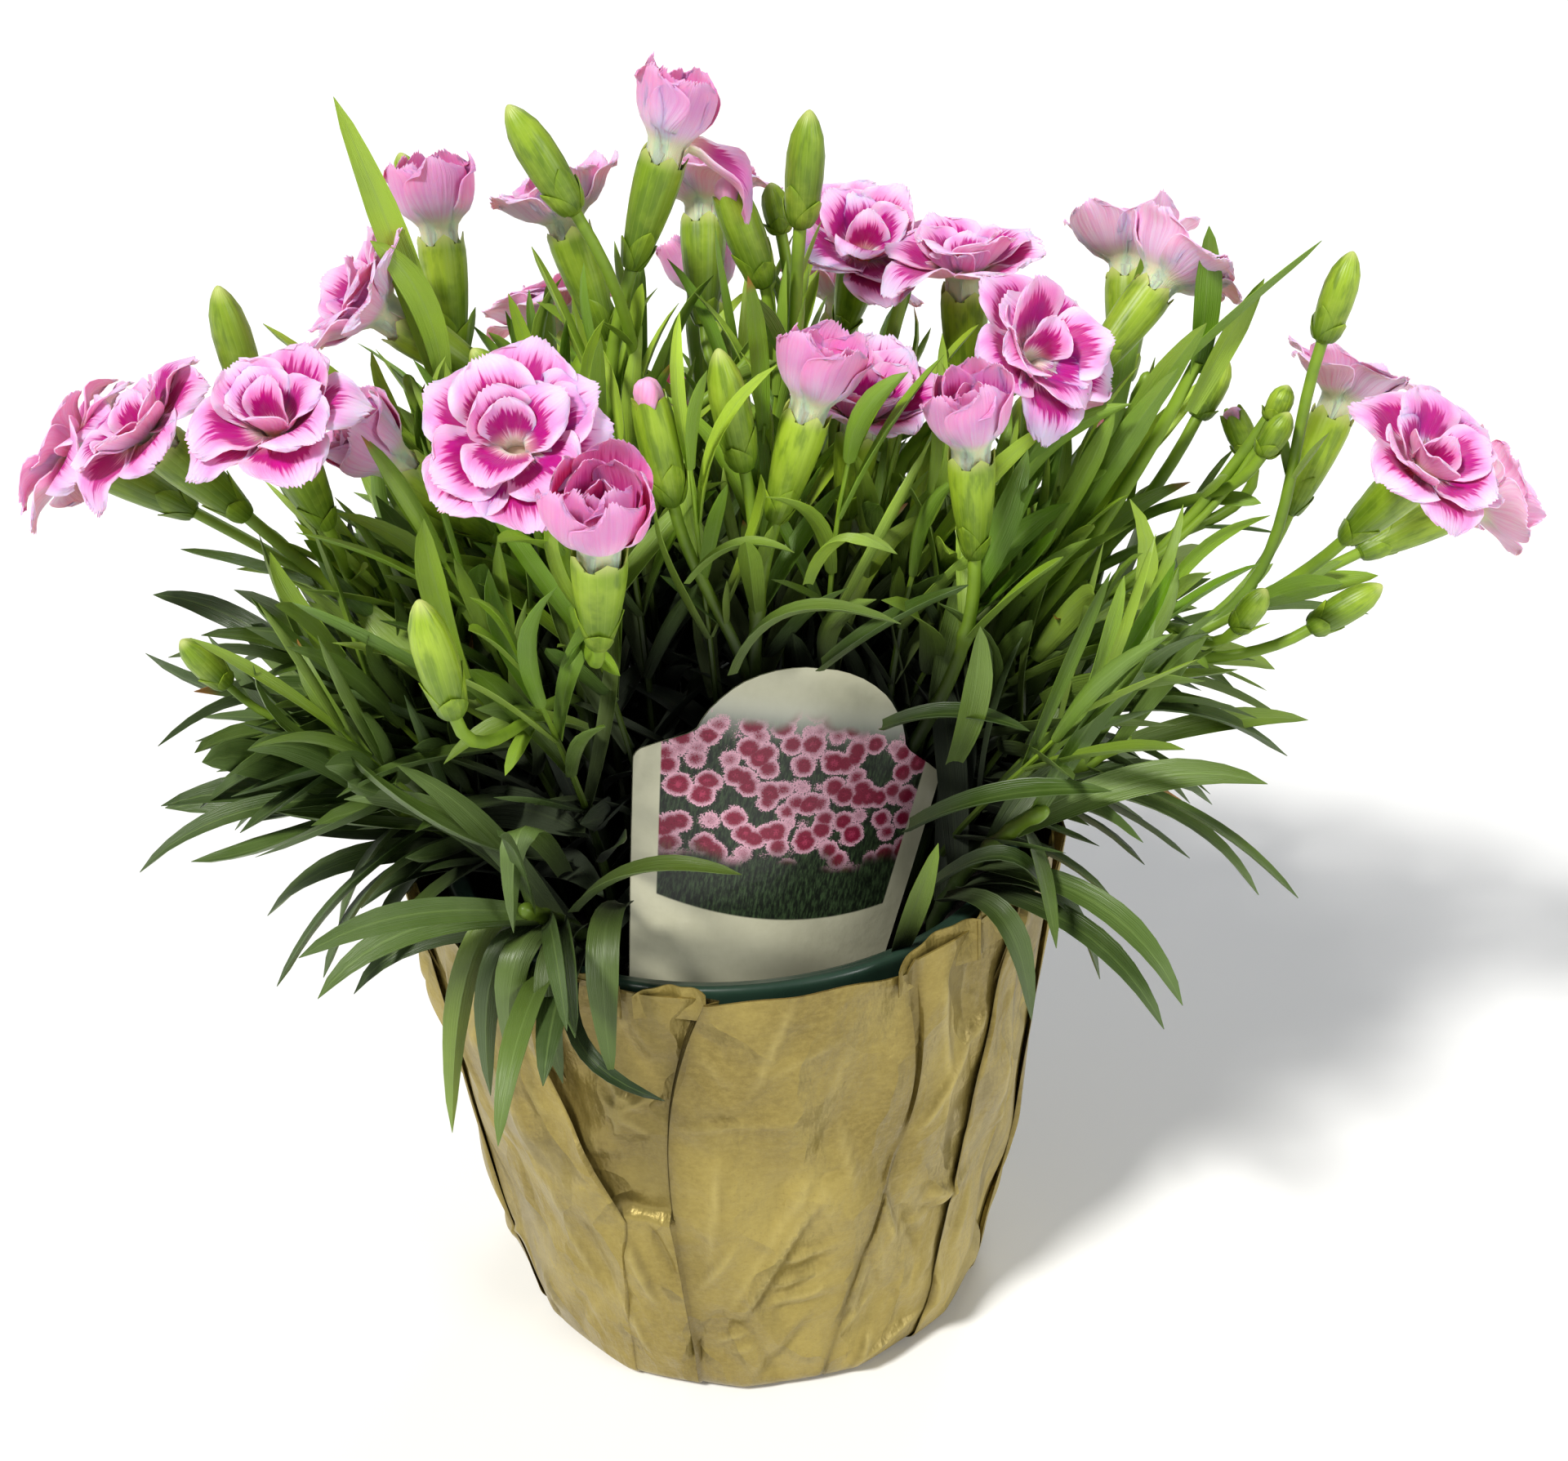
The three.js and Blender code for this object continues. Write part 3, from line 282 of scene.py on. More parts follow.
class Mesh:
    """Grids of points that become one piece. Each point carries its place on its own part, as across,
    along and side, and a tint, as tone, youth and a spare number, which the materials read. On the wrap
    the tint's first two numbers are the painted highlight and the painted shade instead."""

    def __init__(self):
        self.points, self.places, self.tints, self.faces, self.slots = [], [], [], [], []
        self.size = 0

    def add(self, rings, place, tint, slot, close):
        """Rings of points joined round, and the faces that close gives for the first and the last ring."""
        shape = rings.shape
        index = self.size + np.arange(shape[0] * shape[1]).reshape(shape[:2])
        lower, upper = index[:-1], index[1:]
        quads = np.stack((lower, np.roll(lower, -1, 1), np.roll(upper, -1, 1), upper), -1)
        faces = quads.reshape(-1, 4).tolist() + close(index[0].tolist(), index[-1].tolist())
        place = np.broadcast_to(np.stack(np.broadcast_arrays(*place), -1), shape)
        self.points.append(rings.reshape(-1, 3))
        self.places.append(place.reshape(-1, 3))
        self.tints.append(np.broadcast_to(np.array(tint, float), shape).reshape(-1, 3))
        self.faces += faces
        self.slots += [slot] * len(faces)
        self.size += len(self.points[-1])

    def tube(self, rings, place, tint=PLAIN_TINT, slot=0, capped=True):
        """A tube of rings; capped puts a flat face on each end."""
        self.add(rings, place, tint, slot, lambda first, last: [first[::-1], last] if capped else [])

    def sheet(self, upper, lower, across, run, tint=PLAIN_TINT, slot=0):
        """A thin closed sheet between two grids with the same rows and columns."""
        n, k = upper.shape[:2]
        across, run = (np.broadcast_to(values, (n, k)) for values in (across, run))
        side = np.zeros((n, 2 * k))
        side[:, k:] = 1
        place = np.concatenate((across, across[:, ::-1]), 1), np.concatenate((run, run[:, ::-1]), 1), side

        def close(*ends):
            return [[row[i], row[i + 1], row[-2 - i], row[-1 - i]] for row in ends for i in range(k - 1)]

        self.add(np.concatenate((upper, lower[:, ::-1]), 1), place, tint, slot, close)

    def build(self, name, *materials, sharp=50):
        mesh = bpy.data.meshes.new(name)
        points = np.concatenate(self.points) * MM
        mesh.from_pydata(points.tolist(), [], self.faces)
        for label, rows in (("place", self.places), ("tint", self.tints)):
            attribute = mesh.attributes.new(label, "FLOAT_VECTOR", "POINT")
            attribute.data.foreach_set("vector", np.concatenate(rows).astype(np.float32).ravel())
        mesh.polygons.foreach_set("material_index", self.slots)
        for material in materials:
            mesh.materials.append(material)
        outward = bmesh.new()
        outward.from_mesh(mesh)
        bmesh.ops.recalc_face_normals(outward, faces=outward.faces)
        outward.to_mesh(mesh)
        outward.free()
        mesh.shade_smooth()
        mesh.set_sharp_from_angle(angle=math.radians(sharp))
        return placed(name, mesh)


def placed(name, data):
    """An object with that data, linked to the scene."""
    piece = bpy.data.objects.new(name, data)
    bpy.context.scene.collection.objects.link(piece)
    return piece


# ---- Materials ----
DEEP_SHADE = (0, 6, 0)  # leaves and stems deep inside the plant
MOUND_HEART, PER_REACH_SQUARED = 0.095, 138.0  # the mound's middle, in metres, and 1 over its reach squared


def colour(red, green, blue):
    """A colour as a screen shows it, from 0 to 255, in the numbers that a shader takes."""
    shares = (red / 255, green / 255, blue / 255)
    return tuple(c / 12.92 if c <= 0.04045 else ((c + 0.055) / 1.055) ** 2.4 for c in shares)


def reckon(operation, swapped=False):
    return lambda self, other=0.0: self.nodes.math(operation, *((other, self) if swapped else (self, other)))


class Field:
    """What a node gives. Arithmetic with it adds the math nodes that it takes."""

    def __init__(self, nodes, socket):
        self.nodes, self.socket = nodes, socket

    __add__, __sub__, __mul__ = reckon("ADD"), reckon("SUBTRACT"), reckon("MULTIPLY")
    __truediv__, __pow__, __abs__ = reckon("DIVIDE"), reckon("POWER"), reckon("ABSOLUTE")
    __rsub__ = reckon("SUBTRACT", swapped=True)

    def ramp(self, low, high, a=0.0, b=1.0):
        """Smoothly from a, where this is low, to b, where it is high."""
        return self.nodes.node("ShaderNodeMapRange", interpolation_type="SMOOTHSTEP", inputs={
            "Value": self, "From Min": low, "From Max": high, "To Min": a, "To Max": b})


class Nodes:
    """A material's node tree, with short ways to write the nodes that the materials here are made of."""

    def __init__(self, name):
        self.material = bpy.data.materials.new(name)
        self.material.use_nodes = True
        self.tree = self.material.node_tree

    def put(self, socket, value):
        if isinstance(value, Field):
            self.tree.links.new(value.socket, socket)
        elif isinstance(value, tuple) and socket.type == "RGBA":
            socket.default_value = (*colour(*value), 1)
        else:
            socket.default_value = value

    def node(self, kind, out=0, inputs=(), **settings):
        node = self.tree.nodes.new(kind)
        for key, value in settings.items():
            setattr(node, key, value)
        for key, value in dict(inputs).items():
            self.put(node.inputs[key], value)
        return Field(self, node.outputs[out])

    def set(self, **values):
        """Sets the shader's inputs and gives the finished material."""
        shader = self.tree.nodes["Principled BSDF"]
        for key, value in values.items():
            self.put(shader.inputs[key.replace("_", " ").title().replace("Ior", "IOR")], value)
        return self.material

    def math(self, operation, a, b=0.0, clamp=False):
        return self.node("ShaderNodeMath", operation=operation, use_clamp=clamp, inputs={0: a, 1: b})

    def blend(self, share, a, b):
        return self.node("ShaderNodeMix", 2, {0: share, 6: a, 7: b}, data_type="RGBA")

    def coats(self, base, *coats):
        """Coats over a base, each as how much of it shows, and its colour."""
        for share, tint in coats:
            base = self.blend(share, base, tint)
        return base

    def noise(self, vector, scale, detail=3.0, roughness=0.55):
        return self.node("ShaderNodeTexNoise", inputs={
            "Vector": vector, "Scale": scale, "Detail": detail, "Roughness": roughness})

    def cells(self, vector, scale):
        return self.node("ShaderNodeTexVoronoi", inputs={"Vector": vector, "Scale": scale})

    def read(self, name):
        """The three numbers of a mesh attribute."""
        return self.split(self.node("ShaderNodeAttribute", 1, attribute_name=name))

    def split(self, vector):
        first = self.node("ShaderNodeSeparateXYZ", inputs={0: vector}).socket
        return [Field(self, socket) for socket in first.node.outputs]

    def join(self, x, y, z=0.0):
        return self.node("ShaderNodeCombineXYZ", inputs={0: x, 1: y, 2: z})

    def where(self):
        """The place on the object, in metres."""
        return self.node("ShaderNodeTexCoord", 3)

    def bump(self, height, distance, strength=1.0):
        return self.node("ShaderNodeBump", inputs={"Height": height, "Distance": distance, "Strength": strength})


def in_the_open(n):
    """From dark, deep inside the mound, to 1 on the outside, where light gets in."""
    x, y, z = n.split(n.where())
    up = z - MOUND_HEART
    return ((x * x + y * y + up * up) * PER_REACH_SQUARED).ramp(0.34, 0.98, 0.07, 1)


def leaf_material():
    n = Nodes("dianthus_leaf")
    across, run, side = n.read("place")
    tone, youth, dry = n.read("tint")
    mottle = n.noise(n.where(), 90)
    old = n.blend(tone, (30, 51, 19), (84, 108, 46))
    young = n.blend(tone, (108, 154, 18), (182, 214, 58))
    base = n.coats(
        n.blend(youth, old, young),
        (mottle.ramp(0.35, 0.7, 0, 0.3), (108, 131, 72)),
        (side * 0.3, (100, 124, 72)),
        (abs(across).ramp(0.0, 0.14, 0.3, 0), (132, 158, 84)),  # the midrib
        (run.ramp(0.0, 0.14, 0.5, 0), (136, 168, 66)),  # the foot
        (dry * run.ramp(0.86, 0.985), (176, 118, 52)),  # a dry tip
    )
    streak = n.noise(n.join(across * 9.0, run * 1.3, tone), 1.6, 2)
    lit = in_the_open(n)
    return n.set(
        base_color=n.blend(lit, DEEP_SHADE, base), specular_ior_level=0.5,
        roughness=n.math("MAXIMUM", mottle.ramp(0.3, 0.75, 0.34, 0.5), 0.95 - lit),
        normal=n.bump(streak * 0.7 + mottle * 0.3, 0.0006, 0.5),
    )


def stem_material():
    n = Nodes("dianthus_stem")
    run, youth = n.read("place")[1], n.read("tint")[1]
    mottle = n.noise(n.where(), 160)
    base = n.coats(
        n.blend(run.ramp(0.0, 0.9), (82, 112, 46), (122, 152, 40)),
        (youth * 0.6, (140, 174, 46)),
        (mottle.ramp(0.4, 0.75, 0, 0.4), (78, 106, 50)),
    )
    return n.set(base_color=n.blend(in_the_open(n), DEEP_SHADE, base), roughness=0.45, specular_ior_level=0.4,
                 normal=n.bump(mottle, 0.0005, 0.4))


def calyx_material():
    """Bright yellow-green, darker towards the foot, pale along the teeth."""
    n = Nodes("dianthus_calyx")
    across, run, _ = n.read("place")
    tone = n.read("tint")[0]
    mottle = n.noise(n.where(), 130, 4, 0.6)
    patches = n.noise(n.join(across * 9.0, run * 2.2, tone * 40.0), 1.3)
    lines = abs(n.math("SINE", across * 63.0))
    base = n.coats(
        n.blend(tone, (104, 136, 22), (163, 192, 47)),
        (run.ramp(0.1, 0.75, 0.75, 0), (72, 102, 20)),
        (patches.ramp(0.45, 0.65, 0, 0.6), (78, 108, 22)),
        (mottle.ramp(0.45, 0.72, 0, 0.4), (178, 202, 66)),
        (run.ramp(0.84, 1.0, 0, 0.8), (208, 216, 130)),
        (lines.ramp(0.0, 0.3, 0.14, 0), (186, 204, 96)),
    )
    return n.set(base_color=base, roughness=0.42, specular_ior_level=0.45,
                 normal=n.bump(lines * 0.25 + mottle * 0.6, 0.0003, 0.5))


def petal_material():
    """Pink with a deeper blotch feathered out along the veins of the upper face, paler edges, a cream claw."""
    n = Nodes("dianthus_petal")
    across, run, side = n.read("place")
    tone, deep, _ = n.read("tint")
    fan = across / (run * 0.7 + 0.45)
    vein = n.noise(n.join(fan * 8.0, run * 0.7, tone * 31.0), 1.4, 3, 0.65)
    cloud = n.noise(n.join(across * 2.0, run * 2.0, tone * 17.0), 1.6, 2)
    wide = abs(across)
    edge = n.blend(tone, (251, 192, 230), (255, 214, 242))
    body = n.blend(tone, (240, 136, 203), (248, 160, 216))
    frayed = run + (vein - 0.5) * 0.12
    rim = n.math("MAXIMUM", frayed.ramp(0.74, 0.95), wide.ramp(0.6, 0.95))
    reach = run + (vein - 0.5) * 0.62 + wide**2.4 * 0.55
    blotch = reach.ramp(0.2, 0.4) * reach.ramp(0.7, 0.82, 1, 0) * n.math("ADD", cloud * 0.6, 0.68, clamp=True)
    upper = n.coats(
        n.blend(rim, body, edge),
        (blotch, n.blend(cloud, (152, 0, 110), (202, 8, 146))),
        (reach.ramp(0.16, 0.32, 0.9, 0), (252, 236, 240)),
    )
    # The under face: its own paler pink, lightened further as painted light that stands in for light shining through
    # the petal.
    under = n.blend(vein.ramp(0.36, 0.7), (255, 204, 232), (250, 172, 216))
    under = n.blend(frayed.ramp(0.86, 0.98, 0, 0.6), under, edge)
    face = n.coats(
        n.blend(side, upper, under),
        (deep * run.ramp(0.3, 0.7), n.blend(vein, (214, 70, 162), (236, 118, 196))),
        (deep * (run.ramp(0.9, 1.0) * 0.6), edge),
        (run.ramp(0.12, 0.4, 1, 0) * n.math("MAXIMUM", side, 0.55), (232, 222, 184)),
    )
    height = vein * 0.8 + n.noise(n.where(), 260) * 0.3
    return n.set(base_color=face, roughness=0.5, specular_ior_level=0.3, sheen_weight=0.15, sheen_roughness=0.4,
                 subsurface_weight=0.5, subsurface_scale=0.0015, normal=n.bump(height, 0.0005, 0.5))


def throat_material():
    n = Nodes("dianthus_throat")
    mottle = n.noise(n.where(), 300, 2)
    return n.set(base_color=n.blend(mottle, (204, 204, 150), (228, 196, 198)), roughness=0.6)


def paper_material():
    """Golden kraft paper: fibres, clouds, a soft sheen, wrinkles too fine for the mesh, and a painted highlight on the
    creases' crests with painted shade on their lee sides, in the folds and in the hollow.
    """
    n = Nodes("kraft_paper")
    across, run, side = n.read("place")
    crest_highlight, dark, _ = n.read("tint")
    cloud = n.noise(n.where(), 30, 4, 0.6)
    fibre = n.noise(n.join(across * 0.8, run), 0.9, 5, 0.75)
    speck = n.noise(n.where(), 1500, 2)
    base = n.coats(
        n.blend(cloud.ramp(0.3, 0.7), (124, 107, 50), (164, 146, 77)),
        (fibre.ramp(0.35, 0.7, 0, 0.3), (184, 166, 94)),
        (speck.ramp(0.56, 0.78, 0, 0.35), (124, 104, 54)),
        # Painted highlight on the creases' crests, then painted shade on their lee sides, in the folds between panels,
        # in the hollow and on the loops inside the rim.
        (crest_highlight * 0.22, (214, 198, 130)),
        (dark * 0.55, (82, 68, 32)),
        (side * 0.5, (120, 102, 58)),
    )
    bend = n.noise(n.join(across, run, 7.0), 0.05, 2)
    facet = n.cells(n.join(across + bend * 26.0, run * 0.45), 0.075)
    fine = n.noise(n.join(across, run * 0.4), 0.3, 3, 0.5)
    height = facet * 3.0 + fine * 0.5 + speck * 0.05
    return n.set(base_color=base, roughness=cloud.ramp(0.3, 0.7, 0.34, 0.44), metallic=0.4, specular_ior_level=0.5,
                 normal=n.bump(height, 0.0016))


def pot_material():
    n = Nodes("green_plastic")
    scuff = n.noise(n.where(), 120, 4)
    return n.set(base_color=n.blend(scuff, (28, 50, 40), (46, 70, 56)), roughness=scuff.ramp(0.3, 0.7, 0.26, 0.42),
                 normal=n.bump(scuff, 0.0003, 0.3))


def soil_material():
    n = Nodes("peat_with_painted_shade")
    clump = n.noise(n.where(), 260, 5, 0.7)
    # The peat's own dark brown, made darker still as painted shade for the leaves' shadow over the soil.
    return n.set(base_color=n.blend(clump, (12, 9, 7), (34, 26, 20)), roughness=0.92, normal=n.bump(clump, 0.002, 0.9))


def label_material():
    """A white card with a generic printed flower bed on its front."""
    n = Nodes("label_card")
    across, run, side = n.read("place")
    card = n.join(across, run)
    wave, frill, patch = n.noise(card, 0.5, 2), n.noise(card, 3.2), n.noise(card, 0.11, 1)
    front, behind = (n.cells(n.join(across + wave * 1.6, run * 1.15, layer), 0.2) for layer in (0.0, 9.0))
    size = n.math("MINIMUM", front, behind + 0.06) + (frill - 0.5) * 0.34
    grass = n.noise(n.join(across * 1.6, run * 0.35), 1.2, 4, 0.7)
    ground = n.blend(grass.ramp(0.4, 0.7), (20, 26, 18), (62, 82, 52))
    flower = n.coats(
        n.blend(size.ramp(0.3, 0.46), (132, 20, 54), (224, 172, 190)),
        (size.ramp(0.06, 0.2, 0.7, 0), (184, 62, 96)),
        (frill.ramp(0.5, 0.62) * 0.5, (88, 10, 38)),
    )
    grows = size.ramp(0.5, 0.55, 1, 0) * (run + patch * 10).ramp(25, 30) * (run + patch * 12).ramp(51, 54, 1, 0)
    picture = n.coats(ground, (run.ramp(42, 51), (196, 198, 186)), (grows, flower))
    low, beside = run - abs(across) ** 2.0 * 0.006, abs(across) - (run * 0.13 + 21.0)
    printed = low.ramp(10.2, 10.6) * run.ramp(46, 53, 1, 0) * beside.ramp(-0.3, 0.0, 1, 0) * side.ramp(0.4, 0.6)
    blank = n.blend(wave, (196, 194, 166), (208, 206, 180))
    return n.set(base_color=n.blend(printed, blank, picture), roughness=0.3, specular_ior_level=0.5,
                 normal=n.bump(wave, 0.0004, 0.15))


# ---- Leaves ----
LEAF_ACROSS = np.array((-1, -0.55, 0, 0.55, 1.0))
PLAIN_ACROSS = np.array((-1, -0.35, 0.35, 1.0))
# A leaf's thickness, what its midrib adds, how far that reaches across, and how far it all stands over its line.
BLADE = dict(thick=0.34, rib=0.3, reach=0.28, above=0.12)


def leaf_form(run):
    """A leaf's width along its length, as a share of its greatest width: a clasping foot, a point at the tip."""
    body = 0.6 + 0.4 * np.sin(np.minimum(run / 0.5, 1) * math.pi / 2)
    return body * np.clip((1 - run) / 0.36, 0.0015, 1) ** 0.58


def add_leaf(mesh, points, across, width, tint, cup=0.22, roll=0.0, columns=LEAF_ACROSS):
    """A channelled blade along a line of points; across is its width's direction at the foot."""
    run = np.linspace(0, 1, len(points))
    way = np.gradient(points, axis=0)
    way /= np.linalg.norm(way, axis=1)[:, None]
    side = across - (way @ across)[:, None] * way
    side /= np.linalg.norm(side, axis=1)[:, None]
    above = -np.cross(way, side)
    angle = (roll * smooth(0.1, 1, run))[:, None]
    side, above = side * np.cos(angle) + above * np.sin(angle), above * np.cos(angle) - side * np.sin(angle)
    half = (width / 2 * leaf_form(run))[:, None]
    s = columns[None, :]
    channel = cup * half * (s**2) * (1.3 - 0.6 * run[:, None])
    thick = BLADE["thick"] + BLADE["rib"] * np.exp(-((s / BLADE["reach"]) ** 2))
    thick = thick * np.clip(half / 1.2, 0.15, 1)
    face = channel + BLADE["above"]
    base = points[:, None] + side[:, None] * (s * half)[..., None]
    upper = base + above[:, None] * face[..., None]
    lower = base + above[:, None] * (face - thick * (1.15 - 0.85 * s**2))[..., None]
    mesh.sheet(upper, lower, s, run[:, None], tint)


def midrib(root, start, length, sag, steps=LEAF_STEPS, drift=0.0):
    points, way = [root], start
    for i in range(steps):
        way = unit(way - (UP * sag + drift) * (i + 1) / steps)
        points.append(points[-1] + way * length / steps)
    return np.array(points)


def leaf_try(plan, attempt):
    draw = draws(plan["seed"] * 64 + attempt)
    stem = plan["direction"]
    facing = (plan["facet"] + 0.5) * 360 / SIDES + (draw() - 0.5) * (20 + 1.1 * attempt)
    outwards = turned_to(stem) @ along(facing)
    spread = math.radians(plan["spread"] + (draw() - 0.5) * 24)
    start = unit(stem * math.cos(spread) + outwards * math.sin(spread) + UP * 0.012 * attempt)
    length = plan["length"] * vary(draw, 0.24) * (1 - 0.011 * attempt)
    sag = plan["sag"] * vary(draw, 1)
    points = midrib(plan["centre"] + outwards * STEM["tip"] * 0.8, start, length, sag)
    return points, unit(np.cross(outwards, stem)), plan["width"] * vary(draw, 0.24)


def leaf_plans(seed, path, pairs, habit):
    """The leaves that the part's source tries on a stem: where, how large, and with which numbers."""
    plans = []
    for i in range(pairs):
        share = i / (pairs - 1)
        t = mix(habit["start"], habit["stop"], share)
        spread, length, width, sag = (mix(a, b, share) for a, b in zip(habit["low"], habit["high"]))
        plans += [dict(
            t=t, centre=path.point(t), direction=path.tangent(t), facet=(seed + 3 * i + 2 * side) % SIDES,
            seed=seed * 40 + i * 2 + side, spread=spread, length=length, width=width, sag=sag,
        ) for side in (0, 1)]
    return plans


def corners_of(node):
    """A CAD node's corners, in millimetres, ready to be searched."""
    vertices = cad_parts[node].data.vertices
    tree = KDTree(len(vertices))
    for i, vertex in enumerate(vertices):
        tree.insert(vertex.co / MM, i)
    tree.balance()
    return tree


SAME_CORNER = 0.03  # how far apart, at the most, a tip and its corner lie


def grown(plan, corners):
    """The try at a leaf that the part kept, which is the one whose tip is a corner of its node."""
    for attempt in range(LEAF_TRIES):
        points, across, width = leaf_try(plan, attempt)
        if corners.find(points[-1])[2] < SAME_CORNER:
            return points, across, width
    return None


# ---- Stems, calyces and buds ----
def add_tube(mesh, points, ways, radii, sides=12, tint=PLAIN_TINT, run=None):
    x, y = circle(sides)
    rings = []
    for point, way, radius in zip(points, ways, radii):
        turn = turned_to(way)
        rings.append(point + radius * (x[:, None] * turn[:, 0] + y[:, None] * turn[:, 1]))
    share = np.linspace(0, 1, len(points)) if run is None else run
    mesh.tube(np.array(rings), (around(sides), share[:, None], 0.0), tint, 1)


STEM_END = ((0.7, 0.75), (1.2, 0.3))  # how far beyond its path, and how much thinner each time, a stem's end goes
SWELLING = np.array((-2.4, -1, 0, 1, 2.4))  # where a stem has rings round the foot of its leaves


def add_stem(mesh, foot, path, nodes, youth):
    """A round stem from its foot in the soil along a path, swollen where leaves grow."""
    length = path.length()
    t = np.unique(np.concatenate([np.linspace(0, 1, 26)] + [n + SWELLING / length for n in nodes]))
    t = t[(t >= 0) & (t <= 1)]
    points, ways = path.line(t)
    points, ways = [vec(*foot, SOIL_TOP - SOCKET_DEPTH), vec(*foot, SOIL_TOP)] + points, [UP, UP] + ways
    swell = sum((0.42 * np.exp(-(((t - n) * length) / 1.5) ** 2) for n in nodes), np.zeros_like(t))
    radii = [STEM["radius"]] * 2 + list(mix(STEM["radius"], STEM["tip"], t) + swell)
    for beyond, size in STEM_END:
        points.append(path.point(1) + ways[-1] * beyond)
        ways.append(ways[-1])
        radii.append(radii[-1] * size)
    add_tube(mesh, points, ways, radii, tint=(0.5, youth, 0), run=np.concatenate(((0, 0), t, (1, 1))))


CALYX_TEETH = 5
FULL_TURN = 6.3  # radians, near enough for a material
CALYX_SCALES = (-18.9, 6.2)  # the height of their foot and their length
# A calyx's radius at heights below its mouth.
CALYX_FORM = (
    (-19.3, 1.0), (-18.7, 1.55), (-17.6, 2.0), (-16, 2.4), (-14, 2.8), (-11, 3.3), (-7.5, 3.75), (-4, 4.05),
    (-1.5, 4.15), (0, 4.05),
)
# A bud's radius at heights below its tip, and that of an opening one's petals, as shares of its width and length.
CLOSED_BUD = (
    (-1.02, 0.32), (-0.97, 0.6), (-0.9, 0.78), (-0.76, 0.9), (-0.58, 0.98), (-0.38, 0.98), (-0.22, 0.84),
    (-0.1, 0.55), (-0.045, 0.34), (-0.012, 0.17), (0.0, 0.05),
)
OPEN_BUD = (
    (-1.02, 0.32), (-0.97, 0.6), (-0.9, 0.78), (-0.76, 0.92), (-0.55, 1.04), (-0.36, 1.04), (-0.24, 0.96),
    (-0.2, 0.88), (-0.22, 0.6),
)
ROLLED_PETALS = ((-0.34, 0.7), (-0.2, 0.78), (-0.1, 0.74), (-0.04, 0.6), (-0.01, 0.36), (0.0, 0.08))


def place_head(head, local):
    at, turn, rise = head[:3]
    return local @ turned_to(along(turn, rise)).T + vec(*at)


def add_scales(mesh, head, radius_at, low, size, draw):
    """Two pairs of pointed scales that hug the foot of a calyx or bud, the inner pair the longer one."""
    start = draw() * math.pi
    v, u = np.linspace(0, 1, 9)[:, None], np.linspace(-1, 1, 9)[None, :]
    form = np.clip(1 - v**1.6, 0, 1) ** 0.8 * 0.94 + 0.04 * (1 - v)
    for i, (share, stand) in enumerate(((1.25, 0.14), (1.2, 0.14), (0.85, 0.4), (0.8, 0.4))):
        length = size * share * vary(draw, 0.16)
        angle = start + (i % 2 + 0.5 * (i // 2)) * math.pi + u * 1.35 * form
        height = low + v * length + 0.0 * u
        radius = radius_at(height) + stand + 0.34 * v**4 - 0.1 * u**2
        upper, lower = (
            ring(np.cos(angle), np.sin(angle), face, height) for face in (radius, radius - 0.3 * (1 - 0.6 * u**2))
        )
        mesh.sheet(place_head(head, upper), place_head(head, lower), angle / FULL_TURN, 0.08 + 0.6 * v,
                   (0.2 + 0.5 * draw(), 0.5, 0), 2)


def add_calyx(mesh, head, draw):
    """A smooth cup, a little bowed, whose mouth ends in five short rounded teeth."""
    tone, girth = 0.2 + 0.7 * draw(), 0.96 + 0.1 * draw()
    heights, radii = np.array(CALYX_FORM).T
    turns = around(30)
    tooth = np.abs(2 * ((turns * CALYX_TEETH) % 1) - 1) ** 0.8
    rows = [(girth * radius, height) for height, radius in CALYX_FORM]
    for share in (0.3, 0.65, 1.0):
        rows.append((girth * 4.05 + 0.1 * share**2 * tooth, mix(0.0, -0.5 + 2.4 * tooth, share)))
    for share in (1.0, 0.5, 0.0):
        rows.append((girth * 3.85 + 0.08 * share**2 * tooth, mix(-0.4, -0.7 + 2.4 * tooth, share)))
    rings = turned_form(*circle(30), rows + [(3.1, -4.0), (2.6, -6.5)])
    run = np.clip((rings[..., 2] + 19.3) / 21.5, 0, 1)
    mesh.tube(place_head(head, rings), (turns, run, 0.0), (tone, 0.5, 0), 2)
    add_scales(mesh, head, lambda h: girth * np.interp(h, heights, radii), *CALYX_SCALES, draw)


def add_bud(mesh, head, draw):
    """A closed bud: five teeth that meet at the tip, over scales at the foot. An opening one shows rolled petals."""
    kind, length = head[3:5]
    width = BUD_RADIUS * min(1, 0.5 + length / 40)
    opening = kind == "opening"
    shares, forms = np.array(OPEN_BUD if opening else CLOSED_BUD).T
    x, y = circle(25)
    angle = around(25) * 2 * math.pi
    groove = 1 - 0.06 * smooth(-0.55, -0.06, shares)[:, None] * (0.5 + 0.5 * np.cos(angle * CALYX_TEETH)) ** 3
    height = shares[:, None] * length
    if opening:
        height = height + 1.7 * smooth(-0.3, -0.2, shares)[:, None] * np.abs(np.sin(angle * CALYX_TEETH / 2))
    rings = place_head(head, ring(x, y, width * forms[:, None] * groove, height))
    mesh.tube(rings, (angle / FULL_TURN, (1 + shares)[:, None] * 0.97, 0.0), (0.2 + 0.6 * draw(), 0.5, 0), 2)
    add_scales(mesh, head, lambda h: width * np.interp(h / length, shares, forms), -length * 0.99, 0.3 * length, draw)
    if opening:
        shares, forms = np.array(ROLLED_PETALS).T[..., None]
        roll = width * forms * (1 - 0.3 * (0.5 + 0.5 * np.cos(angle * 3 - 9 * shares)) ** 2)
        rings = place_head(head, ring(x, y, roll, shares * length))
        mesh.tube(rings, (angle / FULL_TURN, 0.55 + 0.4 * (shares + 0.34) / 0.34, 1.0), (draw(), 0.3, 0), 3)


def head_foot(head):
    at, turn, rise, kind, size = head[:5]
    return vec(*at) - along(turn, rise) * (CALYX_LENGTH if kind == "bloom" else size)


OLD_BELOW, YOUNG_ABOVE = 118, 172


